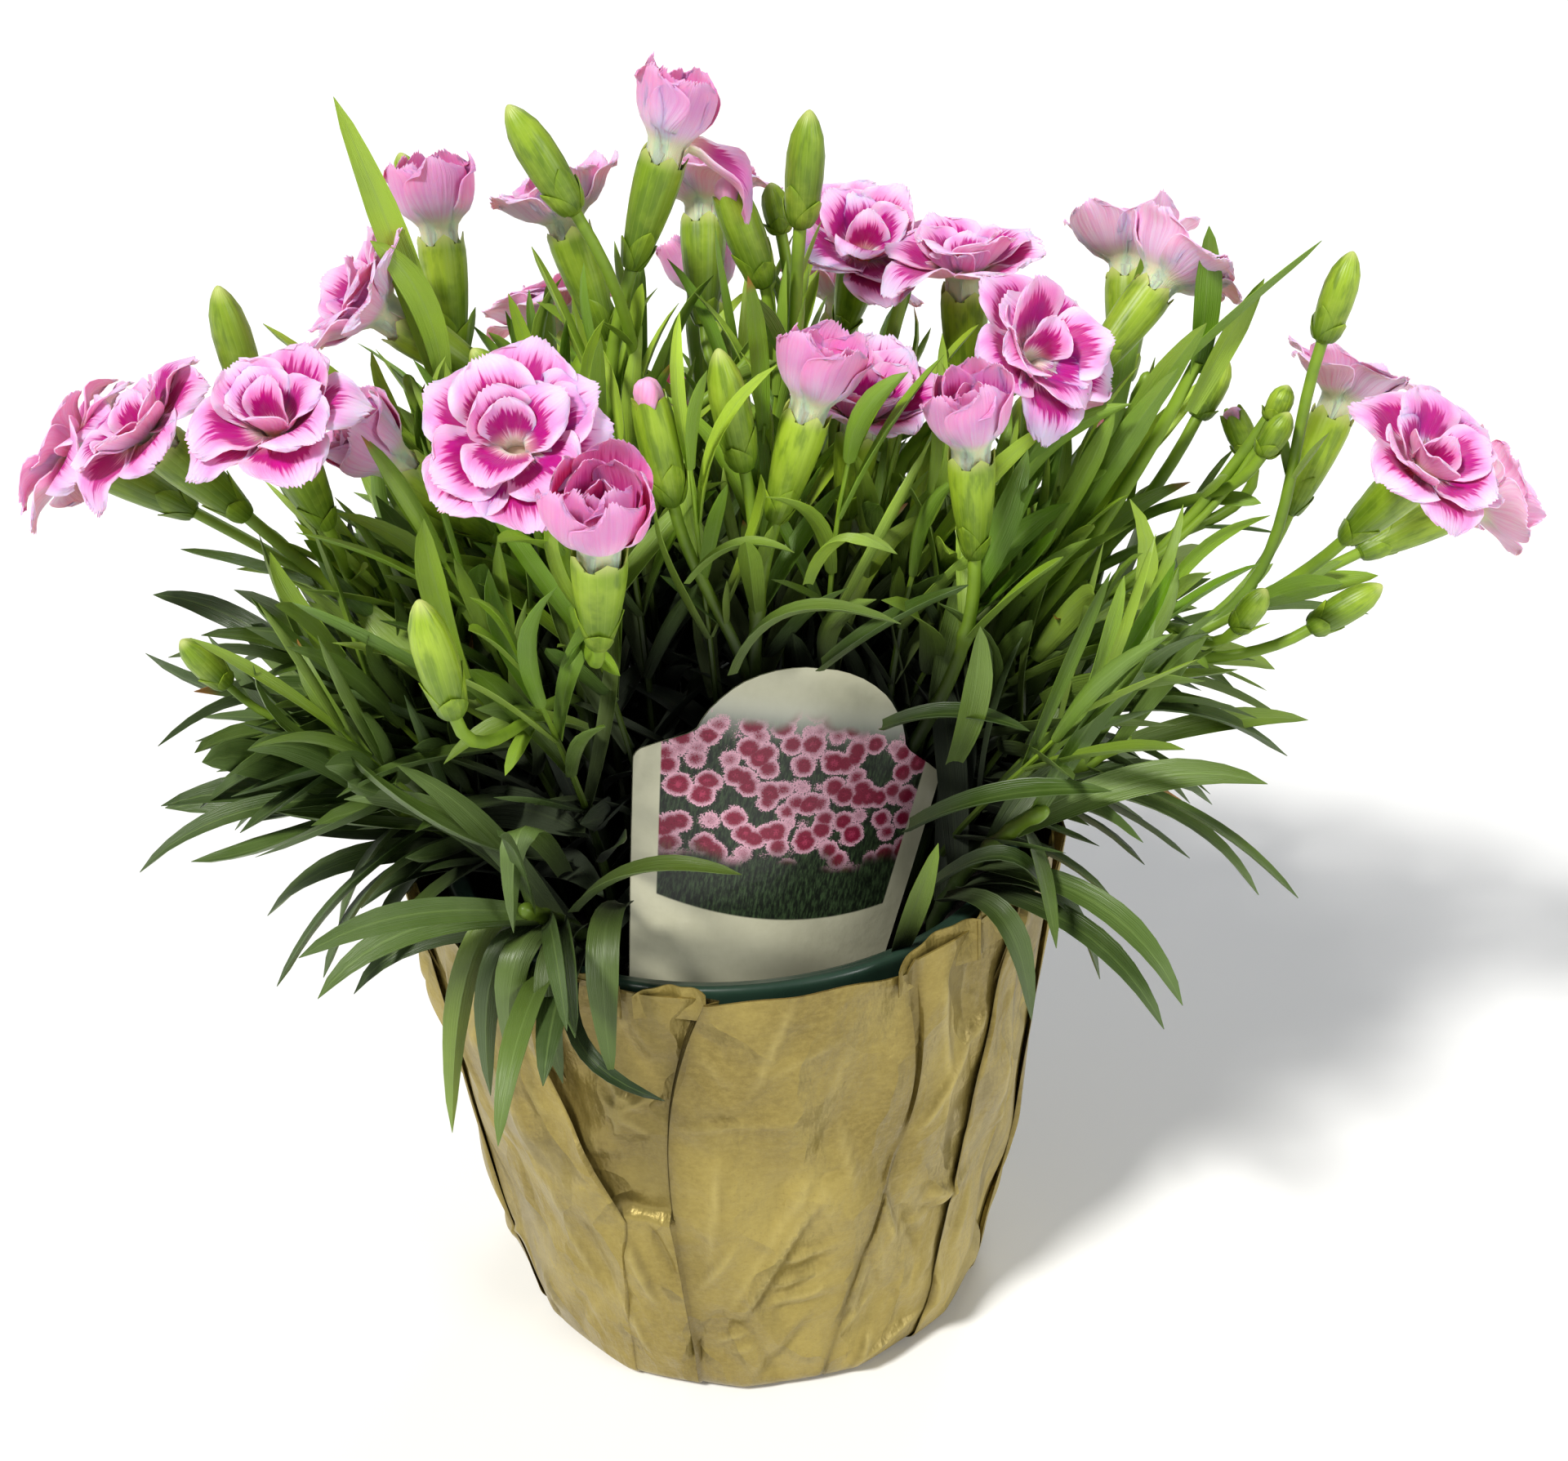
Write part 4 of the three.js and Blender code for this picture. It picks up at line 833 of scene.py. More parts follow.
def youth_at(point):
    """Leaves are the younger the higher they grow, and on the right sooner than on the left."""
    return float(smooth(OLD_BELOW, YOUNG_ABOVE, point[2] + 0.1 * point[0]))


def leaf_tint(draw, youth, dry=0.03):
    """A leaf's tint: how light it is, how young and whether its tip is dry."""
    return draw(), np.clip(youth + 0.2 * (draw() - 0.5), 0, 1), 1.0 if draw() < dry else 0.0


def add_bracts(mesh, path, draw):
    """A pair of short leaves part of the way up a flower's own stalk."""
    t = 0.45 + 0.2 * draw()
    stem = path.tangent(t)
    facing = 360 * draw()
    for turn in (facing, facing + 180):
        outwards = turned_to(stem) @ along(turn)
        start = unit(stem + outwards * 0.45)
        points = midrib(path.point(t) + outwards * 0.7, start, 9 + 6 * draw(), 0.05, 8)
        width, tint = 2.3 + 0.8 * draw(), leaf_tint(draw, 0.8)
        add_leaf(mesh, points, unit(np.cross(outwards, stem)), width, tint, columns=PLAIN_ACROSS)


def dress(node, seed, foot, path, pairs, habit, youth, heads=()):
    """A stem, its leaves where the node's own are, and its heads, each after the first on a stalk of its own."""
    mesh, draw, corners = Mesh(), draws(900 + seed), corners_of(node)
    plans = leaf_plans(seed, path, pairs, habit)
    add_stem(mesh, foot, path, sorted({plan["t"] for plan in plans}), youth)
    for head in heads[1:]:
        fork = Path(path.point(head[5]), path.tangent(head[5]), head_foot(head), along(*head[1:3]))
        t = np.linspace(0, 1, 14)
        radii = STEM["stalk"] + 0.3 * np.exp(-((t * fork.length() / 2) ** 2)) * 0.5
        add_tube(mesh, *fork.line(t), radii, tint=(0.5, 0.6, 0))
        add_bracts(mesh, fork, draw)
    for plan in plans:
        found = grown(plan, corners)
        if found and not over_label(found[0])[3]:
            add_leaf(mesh, *found, leaf_tint(draw, youth_at(found[0][2])), roll=0.5 * (draw() - 0.5))
    for head in heads:
        (add_calyx if head[3] == "bloom" else add_bud)(mesh, head, draw)
    return mesh


def dress_stem(node, seed, foot, pairs, heads):
    end = head_foot(heads[0])
    outwards = unit((end - vec(*foot, 0)) * (1, 1, 0))
    leaving = unit(UP + outwards * FLOWERING["leaving"])
    path = Path(vec(*foot, SOIL_TOP + SPROUT), leaving, end, along(*heads[0][1:3]))
    return dress(node, seed, foot, path, pairs, FLOWERING, 0.3, heads)


def dress_shoot(node, seed, foot, turn, reach, height, pairs, upright):
    habit = UPRIGHT if upright else SPREADING
    start = vec(*foot, SOIL_TOP + SPROUT)
    end = start + along(turn) * reach + UP * height
    path = Path(start, along(turn, habit["leaving"]), end, along(turn, habit["arriving"]))
    return dress(node, seed, foot, path, pairs, habit, 0.6 if upright else 0.2)

# ---- The mound between the part's own stems ----
# Its leafy shoots, layer by layer from the rim up: how many; how far out their feet and tips stand and how high
# the tips, for the innermost and the outermost; the direction in which all leave and the outermost arrives; the
# least and greatest length and width of their leaves, the first and last pair's spread, how much they sag; how much
# higher the tips stand in front, and how much the spread strays.
MOUND = (
    dict(name="skirt", count=27, foot=(28, 45), tip=(58, 82), height=(136, 110), rise=(64, 18), pairs=6,
         length=(26, 42), width=(6.2, 8.4), spread=(62, 32), sag=0.1, front=9, stray=34),
    dict(name="middle", count=34, foot=(8, 43), tip=(34, 80), height=(152, 116), rise=(76, 38), pairs=6,
         length=(26, 38), width=(5.2, 7.4), spread=(58, 26), sag=0.08, front=4, stray=32),
    dict(name="crown", count=48, foot=(4, 41), tip=(10, 84), height=(188, 140), rise=(82, 62), pairs=6,
         length=(18, 34), width=(3.2, 4.6), spread=(36, 12), sag=0.03, front=0, stray=16),
)
GOLDEN_TURN, MOUND_TRIES = 137.5, 6
FIRST_PAIR, LAST_PAIR = 0.34, 0.99
SPINE = np.linspace(0, 1, 12)
LABEL_TURN = (
    Matrix.Rotation(math.radians(LABEL["turn"]), 3, "Z")
    @ Matrix.Rotation(math.radians(LABEL["lean"]), 3, "X")
    @ Matrix.Rotation(math.radians(LABEL["slant"]), 3, "Y")
)
# What the camera sees of the label: how far ahead of it and beside its middle leaves would hide it, how much
# lower they look there for each millimetre ahead, and from and to which height.
LABEL_SIGHT = dict(ahead=70, beside=28, sink=0.55, low=-4, high=57)
SIGHT = (0.45, 0.89)  # upwards for somebody who looks down at the plant from in front
LOWEST = 84  # how far down, along that, the mound's leaves hang beside the wrap
RIM = dict(height=104, inside=49, outside=67.5)  # the space that the pot's lip and the wrap's rim fill
OPEN_FRONT = dict(left=-22, right=36, ahead=-46, height=119)  # where the front of the rim stays in sight


def keep_off():
    """Balls round the flowers and buds, as centres and radii, that leaves stay out of."""
    centres, radii = [], []
    for _, _, heads in STEMS.values():
        for at, turn, rise, kind, size, _ in heads:
            balls = ((-size * 0.25, 4.4), (-size * 0.7, 4.4))
            if kind == "bloom":
                balls = ((7, mix(8.5, 13.5, size)), (-2, 5.2), (-8, 4.8), (-14, 4.4))
            for run, radius in balls:
                centres.append(vec(*at) + along(turn, rise) * run)
                radii.append(radius)
    return np.array(centres), np.array(radii)


HEAD_CENTRES, HEAD_RADII = keep_off()


def over_label(points):
    """The points in the label's own frame, and whether any stands between the camera and the label."""
    across, ahead, height = ((points - vec(*LABEL["foot"], SOIL_TOP)) @ np.array(LABEL_TURN)).T
    seen = height - LABEL_SIGHT["sink"] * np.maximum(-ahead, 0)
    hides = (ahead > -LABEL_SIGHT["ahead"]) & (ahead < 0) & (np.abs(across) < LABEL_SIGHT["beside"])
    return across, ahead, height, (hides & (seen > LABEL_SIGHT["low"]) & (seen < LABEL_SIGHT["high"])).any()


def is_free(points):
    """Whether a leaf's or a shoot's points are clear of the flowers, label, pot and wrap, and hide neither the
    label's picture nor the front of the rim."""
    apart = np.linalg.norm(points[:, None] - HEAD_CENTRES[None], axis=2)
    if (apart < HEAD_RADII).any():
        return False
    x, y, z = points.T
    radius = np.hypot(x, y)
    in_rim = (z < RIM["height"]) & (radius > RIM["inside"]) & (radius < RIM["outside"])
    in_soil = (z < SOIL_TOP + 1) & (radius < 50)
    hanging = (z * SIGHT[1] + y * SIGHT[0] < LOWEST) & (np.abs(x) > 22)
    beside = (x > OPEN_FRONT["left"]) & (x < OPEN_FRONT["right"])
    in_front = (z < OPEN_FRONT["height"]) & (y < OPEN_FRONT["ahead"]) & beside
    if (in_rim | in_soil | hanging | in_front).any():
        return False
    across, ahead, height, hides = over_label(points)
    near = (np.abs(ahead - across**2 / (2 * LABEL["bow"])) < 2) & (np.abs(across) < 33) & (height < 60)
    return not (hides or near.any())


def mound_path(layer, i, draw):
    """The path of one of a layer's shoots, or nothing where no try at it is free."""
    share = (i + 0.5) / layer["count"]
    for _ in range(MOUND_TRIES):
        turn = (i * GOLDEN_TURN + 40 * draw()) % 360
        foot = along(turn + 30 * (draw() - 0.5)) * mix(*layer["foot"], math.sqrt(share))
        reach = mix(*layer["tip"], share**0.7 * (0.8 + 0.2 * draw()))
        high = mix(*layer["height"], share**1.4 * (0.7 + 0.3 * draw()))
        high = high + layer["front"] * max(0, -math.sin(math.radians(turn)))
        start, end = foot + UP * (SOIL_TOP - 3), along(turn) * reach + UP * high
        arriving = mix(*layer["rise"], share**0.5)
        path = Path(start, along(turn, layer["rise"][0]), end, along(turn, arriving))
        if is_free(np.array(path.line(SPINE)[0])[3:]):
            return path
    return None


def add_mound_leaf(mesh, layer, path, part, facing, draw):
    """A leaf of a mound's shoot, part of the way from its first to its last pair, if a try at it is free."""
    at = mix(FIRST_PAIR, LAST_PAIR, part**0.8)
    stem = path.tangent(at)
    for _ in range(MOUND_TRIES):
        outwards = turned_to(stem) @ along(facing + 30 * (draw() - 0.5))
        spread = math.radians(mix(*layer["spread"], part) + layer["stray"] * (draw() - 0.5))
        length = mix(*layer["length"], math.sin(math.pi * mix(0.3, 0.85, part))) * vary(draw, 0.4)
        drift = along(360 * draw()) * 0.24 * draw()
        start = unit(stem * math.cos(spread) + outwards * math.sin(spread))
        sag = layer["sag"] * vary(draw, 1.8) * (1 - 0.5 * part)
        points = midrib(path.point(at) + outwards * 0.6, start, length, sag, 9, drift)
        if is_free(points[2:]):
            width = mix(*layer["width"], draw()) * mix(1, 0.8, part)
            add_leaf(mesh, points, unit(np.cross(outwards, stem)), width, leaf_tint(draw, youth_at(points[2])),
                     cup=0.2 + 0.3 * draw(), roll=1.1 * (draw() - 0.5), columns=PLAIN_ACROSS)
            return


def dress_layer(layer, seed):
    """The shoots of one layer of the mound, each with opposite pairs of leaves."""
    mesh, draw = Mesh(), draws(seed)
    for i in range(layer["count"]):
        path = mound_path(layer, i, draw)
        if path is None:
            continue
        points, ways = path.line(SPINE)
        radii = np.linspace(mix(1.15, 0.75, draw()), 0.35, len(SPINE))
        add_tube(mesh, points, ways, radii, sides=6, tint=(0.5, youth_at(points[-1]), 0))
        facing = 360 * draw()
        for pair in range(layer["pairs"]):
            for side in (0, 180):
                add_mound_leaf(mesh, layer, path, pair / (layer["pairs"] - 1), facing + pair * 90 + side, draw)
    return mesh


# Single leaves that stand out: root, the corner that the midrib bends towards, tip, width and youth.
LONE_LEAVES = (
    ((-45.5, -2, 190), (-49, -2, 214), (-58.1, -2, 242.3), 5.6, 0.72),
    ((-45.5, -3, 194), (-45, -5, 212), (-54.4, -6, 219.4), 5.0, 0.68),
    ((86.5, 0, 188), (88, 0, 201), (87.4, 0, 214), 5.2, 0.7),
    ((85.5, 0, 181), (90.5, -1, 193), (97, -2, 205), 4.6, 0.6),
    ((96.5, 0, 170), (99.5, 0, 177), (103, 0, 183.5), 3.4, 0.7),
    ((-37, -44, 112), (-47, -57, 116), (-52.5, -49, 67), 5.0, 0.5),
    ((-33, -46, 110), (-43, -60, 116), (-43.5, -56, 80), 4.6, 0.12),
    ((-28, -44, 118), (-34, -62, 150), (-35.5, -60, 116), 4.8, 0.2),
    ((-30, -46, 108), (-38, -64, 121), (-38.5, -59, 88), 5.4, 0.1),
    ((-26, -46, 108), (-33, -64, 116), (-29.5, -64, 88), 5.0, 0.08),
    ((-18, -46, 112), (-22, -68, 126), (-20.6, -68, 91), 5.6, 0.15),
    ((-26, -47, 104), (-33, -70, 97), (-11.8, -70.5, 88), 3.2, 0.05),
    ((-26, -50, 114), (-15, -64, 134), (3, -63, 127), 5.2, 0.2),
    ((29, -42, 96), (31, -52, 110), (36, -52, 125), 4.6, 0.75),
    ((36, -38, 108), (52, -50, 130), (58, -42, 100), 5.2, 0.1),
    ((38, -36, 104), (50, -54, 118), (52.5, -49, 86), 5.6, 0.05),
    ((42, -32, 104), (60, -46, 118), (66, -40, 88), 5.0, 0.05),
    ((32, -38, 120), (46, -48, 134), (66, -46, 130), 6.6, 0.1),
    ((28, -34, 138), (40, -38, 145), (53, -38, 138), 5.6, 0.1),
    ((18, -30, 148), (30, -35, 160), (43, -34, 164), 7.0, 0.15),
    ((40, -36, 132), (44, -42, 146), (44, -42, 160), 5.6, 0.2),
    ((-28, -40, 118), (-46, -54, 128), (-61, -50, 146), 6.4, 0.08),
    ((-22, -38, 142), (-34, -48, 154), (-46, -46, 141), 4.8, 0.15),
    ((3, -34, 150), (10, -44, 172), (31, -42, 161), 5.0, 0.1),
    ((-4, -32, 166), (4, -36, 178), (14, -36, 172), 3.2, 0.6),
    ((16, -30, 164), (20, -36, 180), (31, -36, 171), 3.2, 0.6),
    ((-60, -20, 130), (-76, -28, 140), (-94, -26, 124), 6.6, 0.0),
    ((60, -16, 128), (84, -20, 138), (104, -14, 118), 6.4, 0.0),
    ((-9, 30, 110), (-8, 30, 128), (-8, 31, 142), 7.0, 0.1),
)
# The stems that the tall ones of these stand on: foot, end, and how steeply they leave and arrive.
LONE_STEMS = (
    ((-22, -4), (-45.4, -2, 193), 84, 80),
    ((31, 2), (86.6, 0, 190), 70, 66),
    ((31, 3), (101, 0, 181), 66, 60),
)
# Small buds on stalks of their own: the stalk's foot, the direction in which it leaves, and the head.
SMALL_BUDS = (
    ((-40, -14, 112), (195, 58), ((-92, -26, 157), -155, 58, "bud", 12, 0)),
    ((44, 0, 118), (4, 60), ((103, 0, 185), 10, 66, "bud", 7, 0)),
)


def dress_lone_leaves():
    mesh, draw = Mesh(), draws(61)
    t = np.linspace(0, 1, 13)[:, None]
    for root, corner, tip, width, youth in LONE_LEAVES:
        root, corner, tip = vec(*root), vec(*corner), vec(*tip)
        points = (1 - t) ** 2 * root + 2 * t * (1 - t) * corner + t**2 * tip
        flat = np.cross(tip - root, UP)
        across = unit(flat) if np.linalg.norm(flat) > 18 else unit(vec(1, 0.3, 0))
        add_leaf(mesh, points, across, width, leaf_tint(draw, youth, 0.0), cup=0.3, roll=0.5 * (draw() - 0.5))
    stems = []
    for foot, end, leaving, arriving in LONE_STEMS:
        turn = math.degrees(math.atan2(end[1] - foot[1], end[0] - foot[0]))
        stems.append((1.5, vec(*foot, SOIL_TOP - 3), along(turn, leaving), vec(*end), along(turn, arriving)))
    for foot, leaving, head in SMALL_BUDS:
        stems.append((0.9, vec(*foot), along(*leaving), head_foot(head), along(*head[1:3])))
        add_bud(mesh, head, draw)
    t = np.linspace(0, 1, 18)
    for radius, *ends in stems:
        add_tube(mesh, *Path(*ends).line(t), np.linspace(radius, 0.8 * radius, 18), sides=8, tint=(0.5, 0.6, 0))
    return mesh


# ---- Blooms ----
PETAL_RUN = np.array((-0.3, -0.1, 0.04, 0.14, 0.24, 0.35, 0.47, 0.59, 0.7, 0.8, 0.88, 0.95, 1.0))
PETAL_HALF = 0.19  # half of a petal's thickness at its foot
CLAW_CURVE = 3.1  # the radius that a petal's narrow claw bends round, so that the claws make a funnel


def petal_form(run):
    """A petal's half width along its length, as a share of the greatest: a claw, then a rounded fan."""
    return np.interp(run, (-0.3, 0, 0.12, 0.26, 0.4, 0.54, 0.68, 0.8, 0.9, 0.96, 1.0),
                     (0.36, 0.42, 0.5, 0.68, 0.86, 0.98, 1.0, 0.95, 0.82, 0.66, 0.46))


def add_petal(mesh, head, angle, spread, droop, length, half, root, curve, draw, tint, twist, ruffle, columns):
    """One petal on the part's own centre line, with curve the radius that its width bends round."""
    run = PETAL_RUN[:, None]
    s = np.linspace(-1, 1, columns)[None, :]
    lobes, phase = 0.9 + 0.8 * draw(), 6.3 * draw()
    teeth = np.array([0.035 * (draw() - 0.5) - 0.028 * (i % 2) for i in range(columns)])
    margin = 1 - 0.13 * np.abs(s) ** 2.4 + 0.03 * np.sin(s * 3.4 + phase)
    reach = np.where(run > 0, run * mix(1, margin, smooth(0.3, 1, run)) + teeth * smooth(0.86, 1, run), run)
    tip = 0.3 * ruffle**2 * draw() * smooth(0.7, 1, run)
    bend = math.radians(spread) + droop * reach**2 + tip
    free = smooth(0, 0.4, reach)
    out = root[0] + free * length * reach * np.sin(bend)
    height = root[1] + length * reach * mix(1, np.cos(bend), free)
    bent = mix(CLAW_CURVE, curve, smooth(0.08, 0.5, run))
    arc = s * half * petal_form(run) / bent
    wave = 0.42 * np.sin(s * math.pi * lobes + phase) * smooth(0.3, 1, run)
    frill = 0.13 * np.sin(s * 8.5 + phase * 2) * smooth(0.74, 1, run)
    lift = bent * (1 - np.cos(arc)) + ruffle * (wave + frill) * half / 6.5
    lift = lift + twist * s * half * smooth(0.05, 0.7, run)
    side = bent * np.sin(arc)
    outwards, across = along(angle), along(angle + 90)

    def surface(offset):
        rise = lift + offset
        return (
            outwards * (out - rise * np.cos(bend))[..., None]
            + UP * (height + rise * np.sin(bend))[..., None]
            + across * side[..., None]
        )

    thick = PETAL_HALF * (1 - 0.5 * np.clip(run, 0, 1))
    upper, lower = surface(thick), surface(-thick)
    mesh.sheet(place_head(head, upper), place_head(head, lower), s, np.clip(reach, 0, 1) + 0 * s, tint)


# The whorls of a bloom from the outside in: petals, share of the length, half width, distance of the root from
# the axis, spread, curve, how much they stray, the first petal's turn, and how deep the colour of a closed one is.
# Of two numbers the first is for a barely open bloom and the second for a fully open one; the first spread is a
# share of the outer petals' in a cup.
WHORLS = (
    dict(count=5, size=1.0, half=(6.8, 7.4), root=3.1, spread=(1.0, 58),
         curve=(7.0, 22), stray=(4, 12), turn=72, deep=0.55),
    dict(count=4, size=0.95, half=(6.0, 6.8), root=2.4, spread=(0.8, 43),
         curve=(5.6, 17), stray=(5, 26), turn=36, deep=0.7),
    dict(count=3, size=0.84, half=(5.8, 5.8), root=1.5, spread=(0.6, 27),
         curve=(4.2, 10), stray=(5, 34), turn=10, deep=0.8),
    dict(count=1, size=0.72, half=(4.4, 4.8), root=0.6, spread=(0.3, 13),
         curve=(2.6, 6), stray=(4, 30), turn=80, deep=0.9),
)
# Blooms that are still cups: the outer petals' spread at the foot, how far they bend on the way up, in radians,
# and the number of an outer petal that is already folded out.
CUPS = {
    "a2": (70, 0.3, 0), "b1": (26, -0.15, 0), "c1": (34, -0.36, 0), "d2": (39, -0.46, 0), "e1": (44, -0.1, 0),
    "f1": (23, -0.22, 4), "j1": (31, -0.24, 0), "l1": (29, -0.3, 0), "n1": (47, -0.15, 0), "n2": (42, -0.12, 0),
    "u1": (34, -0.3, 0),
}


def dress_bloom(head, seed, cup):
    """Broad petals in four whorls. The outer five stand where the part's own petals do."""
    mesh = Mesh()
    size = head[4]
    draw, own = draws(seed), draws(5000 + seed)
    full, ajar = mix(1.12, 1, size), size**3
    for number, whorl in enumerate(WHORLS):
        stray = mix(*whorl["stray"], size)
        root = whorl["root"], THROAT_RISE - (1.9 if cup else 0.8)
        for k in range(whorl["count"]):
            if cup:
                spread, droop = whorl["spread"][0] * cup[0], cup[1] * mix(1, 0.7, number / 3)
                if number == 0 and k == cup[2] > 0:
                    spread, droop = 88, 0.5
            else:
                spread = mix(0.55, 1, ajar) * whorl["spread"][1]
                droop = mix(-0.1, 0.22, ajar) * (1 if number == 0 else 0.4)
            spread, droop = spread + stray * 1.2 * (own() - 0.5), droop + 0.2 * size * (own() - 0.5)
            length = PETAL_LENGTH * whorl["size"] * full * vary(own, 0.14)
            if number == 0:
                spread = spread + 3 * (draw() - 0.5)
                length = length * vary(draw, 0.06)
            curve = mix(*whorl["curve"], ajar) * vary(own, 0.5 * size)
            angle = whorl["turn"] + k * 360 / whorl["count"] + stray * 1.5 * (own() - 0.5)
            twist = mix(0.16, 0.3 * (own() - 0.5), smooth(0.3, 0.8, size))
            tint = own(), whorl["deep"] * mix(1, 0.0, smooth(0.2, 0.7, size)), 0
            add_petal(mesh, head, angle, spread, droop, length, mix(*whorl["half"], size), root,
                      curve, own, tint, twist, mix(0.3, 1, size), 23 if number < 2 else 15)
    column = turned_form(*circle(14), ((2.4, -5.5), (3.0, -1.4), (2.8, 0.4), (0.8, 1.4)))
    mesh.tube(place_head(head, column), (0.0, 0.0, 0.0), slot=1)
    return mesh


# ---- Paper wrap ----
WRAP_RADIUS = 55  # where lengths round the wrap are measured
WRAP_ROWS = np.concatenate((np.array((0, 0.35, 0.9, 1.7, 2.6, 3.5)) / 102, np.linspace(0.045, 1, 140)))
FINE_PANELS = (0, 1, 2, 11, 12, 13)  # the ones in front, which have more columns
FOLD = 2.1  # degrees that a pleat's fold runs back under its panel
# How far each panel's right edge bows out between its ends, in degrees.
EDGE_BOWS = (5.4, -1.5, 1.2, -1.8, 1.4, -1.2, 1.6, -1.4, 1.5, -1.3, 1.2, 2.0, 0.0, -5.4)
# The hollow beside the front panel, where an under layer shows: the turn of its left edge at heights, the height
# at which the outer paper closes over it, and how far the paper stands off the cup inside it and closed.
HOLLOW = dict(panel=13, left=((0, 331), (48, 337.5), (60, 333.2), (72, 330), (84, 326.5), (104, 329)), floor=50,
              deep=-1.4, flush=1.8)
# Creases that stand out, as the turn and height of both ends, width and depth.
FRONT_CREASES = (
    (14.5, 56, -3, 21, 0.8, 1.1), (12, 58, -6, 23, 3.2, 0.5), (18, 50, 1, 16, 3.0, -0.8), (3, 27, 16, 30, 0.7, 0.6),
    (2, 24, 16, 27, 0.8, -0.5), (4, 31, 16, 34.5, 0.7, 0.6), (5, 34, 16, 38, 0.8, -0.5), (6, 37, 17, 41, 0.7, 0.5),
    (-9, 14, -1, 19, 0.8, 0.7), (-8, 18, -2, 21, 0.9, -0.6), (-6, 12, 0, 15, 0.8, 0.5), (1, 101, -9, 78, 2.6, -0.7),
    (11, 104, 2, 80, 3.0, 0.8), (20, 104, 14, 76, 3.2, -0.7), (-12, 73, 12, 74, 0.6, 0.4),
    (12, 80, 15, 60, 1.0, -0.5), (17, 72, 20, 56, 1.0, 0.8), (12, 60, 9, 50, 0.8, 0.7), (13, 58, 19, 61, 0.8, -0.5),
    (14, 57, 16, 48, 0.8, 0.6), (8, 62, 3, 44, 1.6, -0.8), (-4, 66, -7, 42, 2.2, 0.8), (-10, 50, -8, 30, 1.6, -0.7),
    (-31, 91, -17, 75, 1.0, 1.2), (-28, 85, -18, 79, 0.9, -0.9), (-25, 79, -16, 68, 1.2, 0.9),
    (-24, 102, -15, 84, 1.8, -0.8), (-46, 88, -41, 60, 2.4, 0.8), (-52, 60, -47, 28, 2.2, -0.8),
    (-39, 56, -34, 24, 1.8, 0.9), (-33, 48, -29, 26, 1.2, -0.8), (-24, 44, -20, 26, 1.0, 1.1),
    (-19, 48, -15, 33, 1.0, -1.0), (-28, 30, -24, 10, 1.4, 0.8), (-42, 24, -36, 8, 1.6, -0.6),
    (36, 98, 40, 70, 1.4, 0.9), (42, 92, 47, 66, 1.2, -0.8), (33, 62, 44, 76, 1.0, 0.8), (26, 52, 30, 36, 1.0, 1.0),
    (31, 46, 36, 30, 1.0, -0.8), (24, 34, 21, 16, 1.4, 0.8), (38, 44, 46, 40, 1.2, 1.1), (36, 41, 44, 36, 1.0, -0.9),
    (30, 24, 36, 10, 1.4, -0.7), (58, 90, 54, 50, 1.8, 0.8), (64, 70, 60, 30, 1.6, -0.8),
    (-60, 96, -56, 62, 1.2, 0.9), (-66, 90, -61, 50, 1.2, -0.8),
)


SMALL_CREASES, SWELLS = 130, 16


def wrap_creases():
    """Creases in the paper as (place round the wrap, height, direction, length, width, depth)."""
    creases = []
    for turn, low, end_turn, high, width, depth in FRONT_CREASES:
        start, end = vec(math.radians(turn) * WRAP_RADIUS, low), vec(math.radians(end_turn) * WRAP_RADIUS, high)
        middle, run = (start + end) / 2, end - start
        length = 0.42 * np.linalg.norm(run)
        creases.append((middle[0], middle[1], math.atan2(run[1], run[0]), length, width, 1.4 * depth))
    draw = draws(77)
    for _ in range(SMALL_CREASES):
        low = draw() ** 1.2
        place, way = WRAP_RADIUS * 2 * math.pi * draw(), (draw() - 0.5) * 1.3 + (1.57 if draw() > 0.35 else 0.7)
        length, width = 3 + 11 * draw() ** 1.5, 0.6 + 1.2 * draw()
        depth = (0.3 + 0.9 * draw()) * (1.3 if draw() > 0.45 else -1.3) * mix(1, 0.7, low)
        creases.append((place, 3 + 97 * low, way, length, width, depth))
    return creases


def crease_field(place, height):
    """How far the creases lift the paper, and how strong the painted highlight on their crests and the painted shade
    on their lee sides are.
    """
    lift, sharp, dark = np.zeros((3, *place.shape))
    around = 2 * math.pi * WRAP_RADIUS
    for centre, level, way, length, width, depth in wrap_creases():
        dx = (place - centre + around / 2) % around - around / 2
        dz = height - level
        run = dx * math.cos(way) + dz * math.sin(way)
        off = -dx * math.sin(way) + dz * math.cos(way)
        fade = np.exp(-((run / length) ** 4))
        steep = np.where(off > 0, np.exp(-((off / (1.2 * width)) ** 2)), np.exp(-np.abs(off) / (2.2 * width)))
        lift += depth * fade * steep
        # Painted highlight along the crest and painted shade on the lee side.
        sharp += fade * np.exp(-((off / 0.7) ** 2)) * max(depth, 0)
        dark += fade * np.exp(-(((off - 1.1 * (depth > 0)) / 0.7) ** 2)) * max(0, abs(depth) - 0.8)
    draw = draws(505)
    swell = np.zeros_like(place)
    for _ in range(SWELLS):
        turns = round(4 + 20 * draw())
        swell += 0.24 * np.sin(place / WRAP_RADIUS * turns + (draw() - 0.5) * 0.34 * height + 6.3 * draw())
    return lift + swell * smooth(2, 16, height), np.clip(sharp, 0, 1), np.clip(dark, 0, 0.7)


